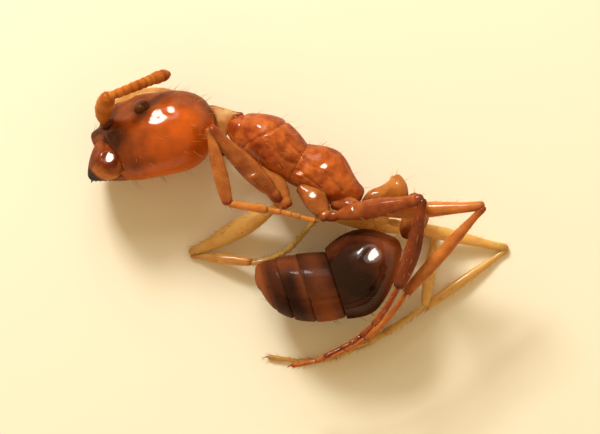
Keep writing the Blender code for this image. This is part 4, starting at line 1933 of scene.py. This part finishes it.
@dataclass(frozen=True)
class Bristles:
    """One joined mesh of bristles over several shells."""

    name: str
    slot: Slot
    tone: float
    growth: Growth
    shells: tuple[Shell, ...]
    seed: int
    rings: int = 3
    patch: float = 0.003  # the size of a bristle's patch of the UV map
    steepest: float = -0.75  # where a normal leads further down, bristles need clearance
    clearance: float = 0.25

    def roots(self, shell: Shell, chance: np.random.Generator) -> tuple[np.ndarray, np.ndarray]:
        """Picks places on a shell, evenly by area and clear of the ground.

        Args:
            shell: the body to grow on.
            chance: the random source.

        Returns:
            Root places and normals, in millimetres.
        """
        triangles = triangles_of(shell.piece)
        crosses = np.cross(triangles[:, 1] - triangles[:, 0], triangles[:, 2] - triangles[:, 0])
        areas = np.linalg.norm(crosses, axis=1) / 2
        count = int(self.growth.density * areas.sum())
        chosen = chance.choice(len(areas), count, p=areas / areas.sum())
        a, b = np.sqrt(chance.random(count)), chance.random(count)
        weights = np.stack([1 - a, a * (1 - b), a * b], axis=1)
        places = np.einsum("ij,ijk->ik", weights, triangles[chosen])
        normals = crosses[chosen] / (2 * areas[chosen, None] + 1e-12)
        clear = (normals[:, 2] > self.steepest) | (places[:, 2] > self.clearance)
        return places[clear], normals[clear]

    def grow(self) -> None:
        """Makes the bristles and hands them over."""
        chance = np.random.default_rng(self.seed)
        growth = self.growth
        turns = np.arange(3) * (2 * math.pi / 3)
        levels = np.linspace(0.0, 1.0, self.rings + 1)[:-1]
        vertices, patches = [], []
        for index, shell in enumerate(self.shells):
            places, normals = self.roots(shell, chance)
            shares, degrees = shell.spread(places)
            slot_u = (index + 0.1 + 0.8 * shares) / len(self.shells)
            slot_v = 0.05 + 0.9 * (degrees + 180.0) / 360.0
            for place, normal, share, u, v in zip(places, normals, shares, slot_u, slot_v):
                lay = np.array(shell.slice_at(float(share)).along.normalized())
                stray = chance.normal(0.0, growth.stray, 3)
                heading = normal * (1.0 - growth.lean) + lay * growth.lean + stray
                heading /= np.linalg.norm(heading)
                droop = lay * growth.bend
                across = np.cross(heading, normal + (0.01, 0.02, 0.03))
                across /= np.linalg.norm(across)
                other = np.cross(heading, across)
                length = growth.length * chance.uniform(*growth.lengths)
                tip = place + (heading + droop) * length
                if tip[2] < GROUND:
                    continue
                for level in levels:
                    middle = place + (heading * level + droop * level**2) * length - normal * growth.sink
                    size = growth.radius * (1.0 - growth.taper * level)
                    for turn in turns:
                        vertices.append(middle + (across * math.cos(turn) + other * math.sin(turn)) * size)
                vertices.append(tip)
                patches.append((u, v))
        self.assemble(np.array(vertices), patches)

    def assemble(self, vertices: np.ndarray, patches: Sequence[tuple[float, float]]) -> None:
        """Joins the bristles' points into one mesh, with a UV patch for each at its root.

        Args:
            vertices: all points, one bristle after another.
            patches: where each bristle's root lies on the unwrapped shells.
        """
        faces, corners = [(0, 2, 1)], [(0.0, 0.0), (1.0, 0.0), (0.5, 0.0)]
        each = 3 * self.rings + 1
        for ring in range(self.rings):
            low, high = ring / self.rings, (ring + 1) / self.rings
            for k in range(3):
                here, after = 3 * ring + k, 3 * ring + (k + 1) % 3
                corners += [(k / 3, low), ((k + 1) / 3, low)]
                if ring == self.rings - 1:
                    faces.append((here, after, each - 1))
                    corners.append(((k + 0.5) / 3, 1.0))
                else:
                    faces.append((here, after, after + 3, here + 3))
                    corners += [((k + 1) / 3, high), (k / 3, high)]
        starts = range(0, each * len(patches), each)
        built = [tuple(start + point for point in face) for start in starts for face in faces]
        mesh = bpy.data.meshes.new(self.name)
        mesh.from_pydata(vertices.tolist(), [], built)
        layer = mesh.uv_layers.new(name="OFBake")
        spread = np.array(patches)[:, None, :] + (np.array(corners) * self.patch)[None, :, :]
        layer.data.foreach_set("uv", spread.reshape(-1).astype(np.float32))
        piece = bpy.data.objects.new(self.name, mesh)
        bpy.context.scene.collection.objects.link(piece)
        paint(piece, self.tone)
        finish_piece(piece, Cuticles.BRISTLE.value)


# --- the studio ----------------------------------------------------------------------------------
@dataclass(frozen=True)
class Lamp:
    """A soft rectangular lamp, aimed at the ant.  Sizes are in millimetres."""

    name: str
    azimuth: float
    elevation: float
    distance: float
    size: tuple[float, float]
    watts: float
    colour: Colour

    def hang(self) -> None:
        """Puts the lamp up."""
        light = bpy.data.lights.new(self.name, "AREA")
        light.shape = "RECTANGLE"
        light.size, light.size_y = (side * MM for side in self.size)
        light.energy = self.watts
        light.color = self.colour
        lamp = bpy.data.objects.new(self.name, light)
        around, above = math.radians(self.azimuth), math.radians(self.elevation)
        level = math.cos(above)
        out = Vector((math.cos(around) * level, math.sin(around) * level, math.sin(above)))
        lamp.location = out * (self.distance * MM)
        lamp.rotation_euler = out.to_track_quat("Z", "Y").to_euler()
        bpy.context.scene.collection.objects.link(lamp)


@dataclass
class Studio:
    """Pale card, soft light and a camera that looks straight down on the ant's left side."""

    card_width: float = 240.0
    margin: float = 1.416  # the width of the view, in lengths of the ant
    aside: tuple[float, float] = (0.0023, 0.0055)
    lens: float = 600.0
    clip: float = 50.0  # how many times nearer and further than the ant the camera still sees
    air: Colour = (1.0, 0.72, 0.38)
    air_strength: float = 0.60
    lamps: tuple[Lamp, ...] = (
        Lamp("key", 104.0, 41.0, 48.0, (32.0, 24.0), 0.0095, (1.0, 0.99, 0.90)),
        Lamp("spark", 117.0, 37.0, 48.0, (11.5, 9.0), 0.0160, (1.0, 0.98, 0.88)),
    )

    def build(self) -> None:
        """Sets the studio up."""
        self.lay_card()
        for lamp in self.lamps:
            lamp.hang()
        self.set_air()
        self.set_camera()
        bpy.context.scene.view_settings.view_transform = "Standard"

    def lay_card(self) -> None:
        """Lays the ground, with its top where the ant rests."""
        bpy.ops.object.select_all(action="DESELECT")
        bpy.ops.mesh.primitive_grid_add(x_subdivisions=4, y_subdivisions=4, size=self.card_width * MM)
        card = bpy.context.object
        card.name = "ground_card"
        card.data.materials.append(Card().material())

    def set_air(self) -> None:
        """Gives even light from all round."""
        world = bpy.data.worlds.new("soft_air")
        bpy.context.scene.world = world
        world.use_nodes = True
        dress(world.node_tree.nodes["Background"], Color=(*self.air, 1.0), Strength=self.air_strength)

    def set_camera(self) -> None:
        """Looks straight down from where the ant fills the frame as it should."""
        low, high = CAD_BOX
        size = high - low
        data = bpy.data.cameras.new("camera")
        data.lens = self.lens
        distance = size.x * self.margin * self.lens / data.sensor_width
        data.clip_start, data.clip_end = distance / self.clip, distance * self.clip
        camera = bpy.data.objects.new("camera", data)
        aim = (low + high) / 2 + Vector((size.x * self.aside[0], size.y * self.aside[1], 0.0))
        camera.location = aim + Vector((0.0, 0.0, distance))
        bpy.context.scene.collection.objects.link(camera)
        bpy.context.scene.camera = camera


def main() -> None:
    """Builds the ant from head to claws, then its bristles and the studio."""
    head, trunk, gaster, antennae, legs = Head(), Trunk(), Gaster(), Antennae(), Legs()
    for part in (head, Mandibles(), antennae, trunk, gaster, legs):
        part.build()
        log.info("built %s", type(part).__name__)
    long = Growth(22.0, 0.12, 0.0030, 0.30)
    medium = Growth(24.0, 0.11, 0.0026, 0.45)
    for index, (name, slot, tone, growth, shells) in enumerate(
        (
            ("head", Slot.RED_PLATE, 0.25, long, head.shells),
            ("trunk", Slot.RED_PLATE, 0.25, long, trunk.shells[:2]),
            ("waist", Slot.WAIST, 0.2, long, trunk.shells[3:]),
            ("gaster", Slot.GASTER, 0.95, medium, gaster.shells),
            ("feeler", Slot.ANTENNA, 0.3, Growth(420.0, 0.035, 0.0020, 0.55), antennae.shells),
            ("leg", Slot.AMBER_LEG, 0.3, Growth(110.0, 0.060, 0.0026, 0.55), legs.shells),
            ("foot", Slot.AMBER_LEG, 0.35, Growth(760.0, 0.060, 0.0026, 0.5), legs.feet),
        )
    ):
        Bristles(name + "_bristles", slot, tone, growth, tuple(shells), FIRST_SEED + index).grow()
    Studio().build()


if __name__ == "__main__":
    main()
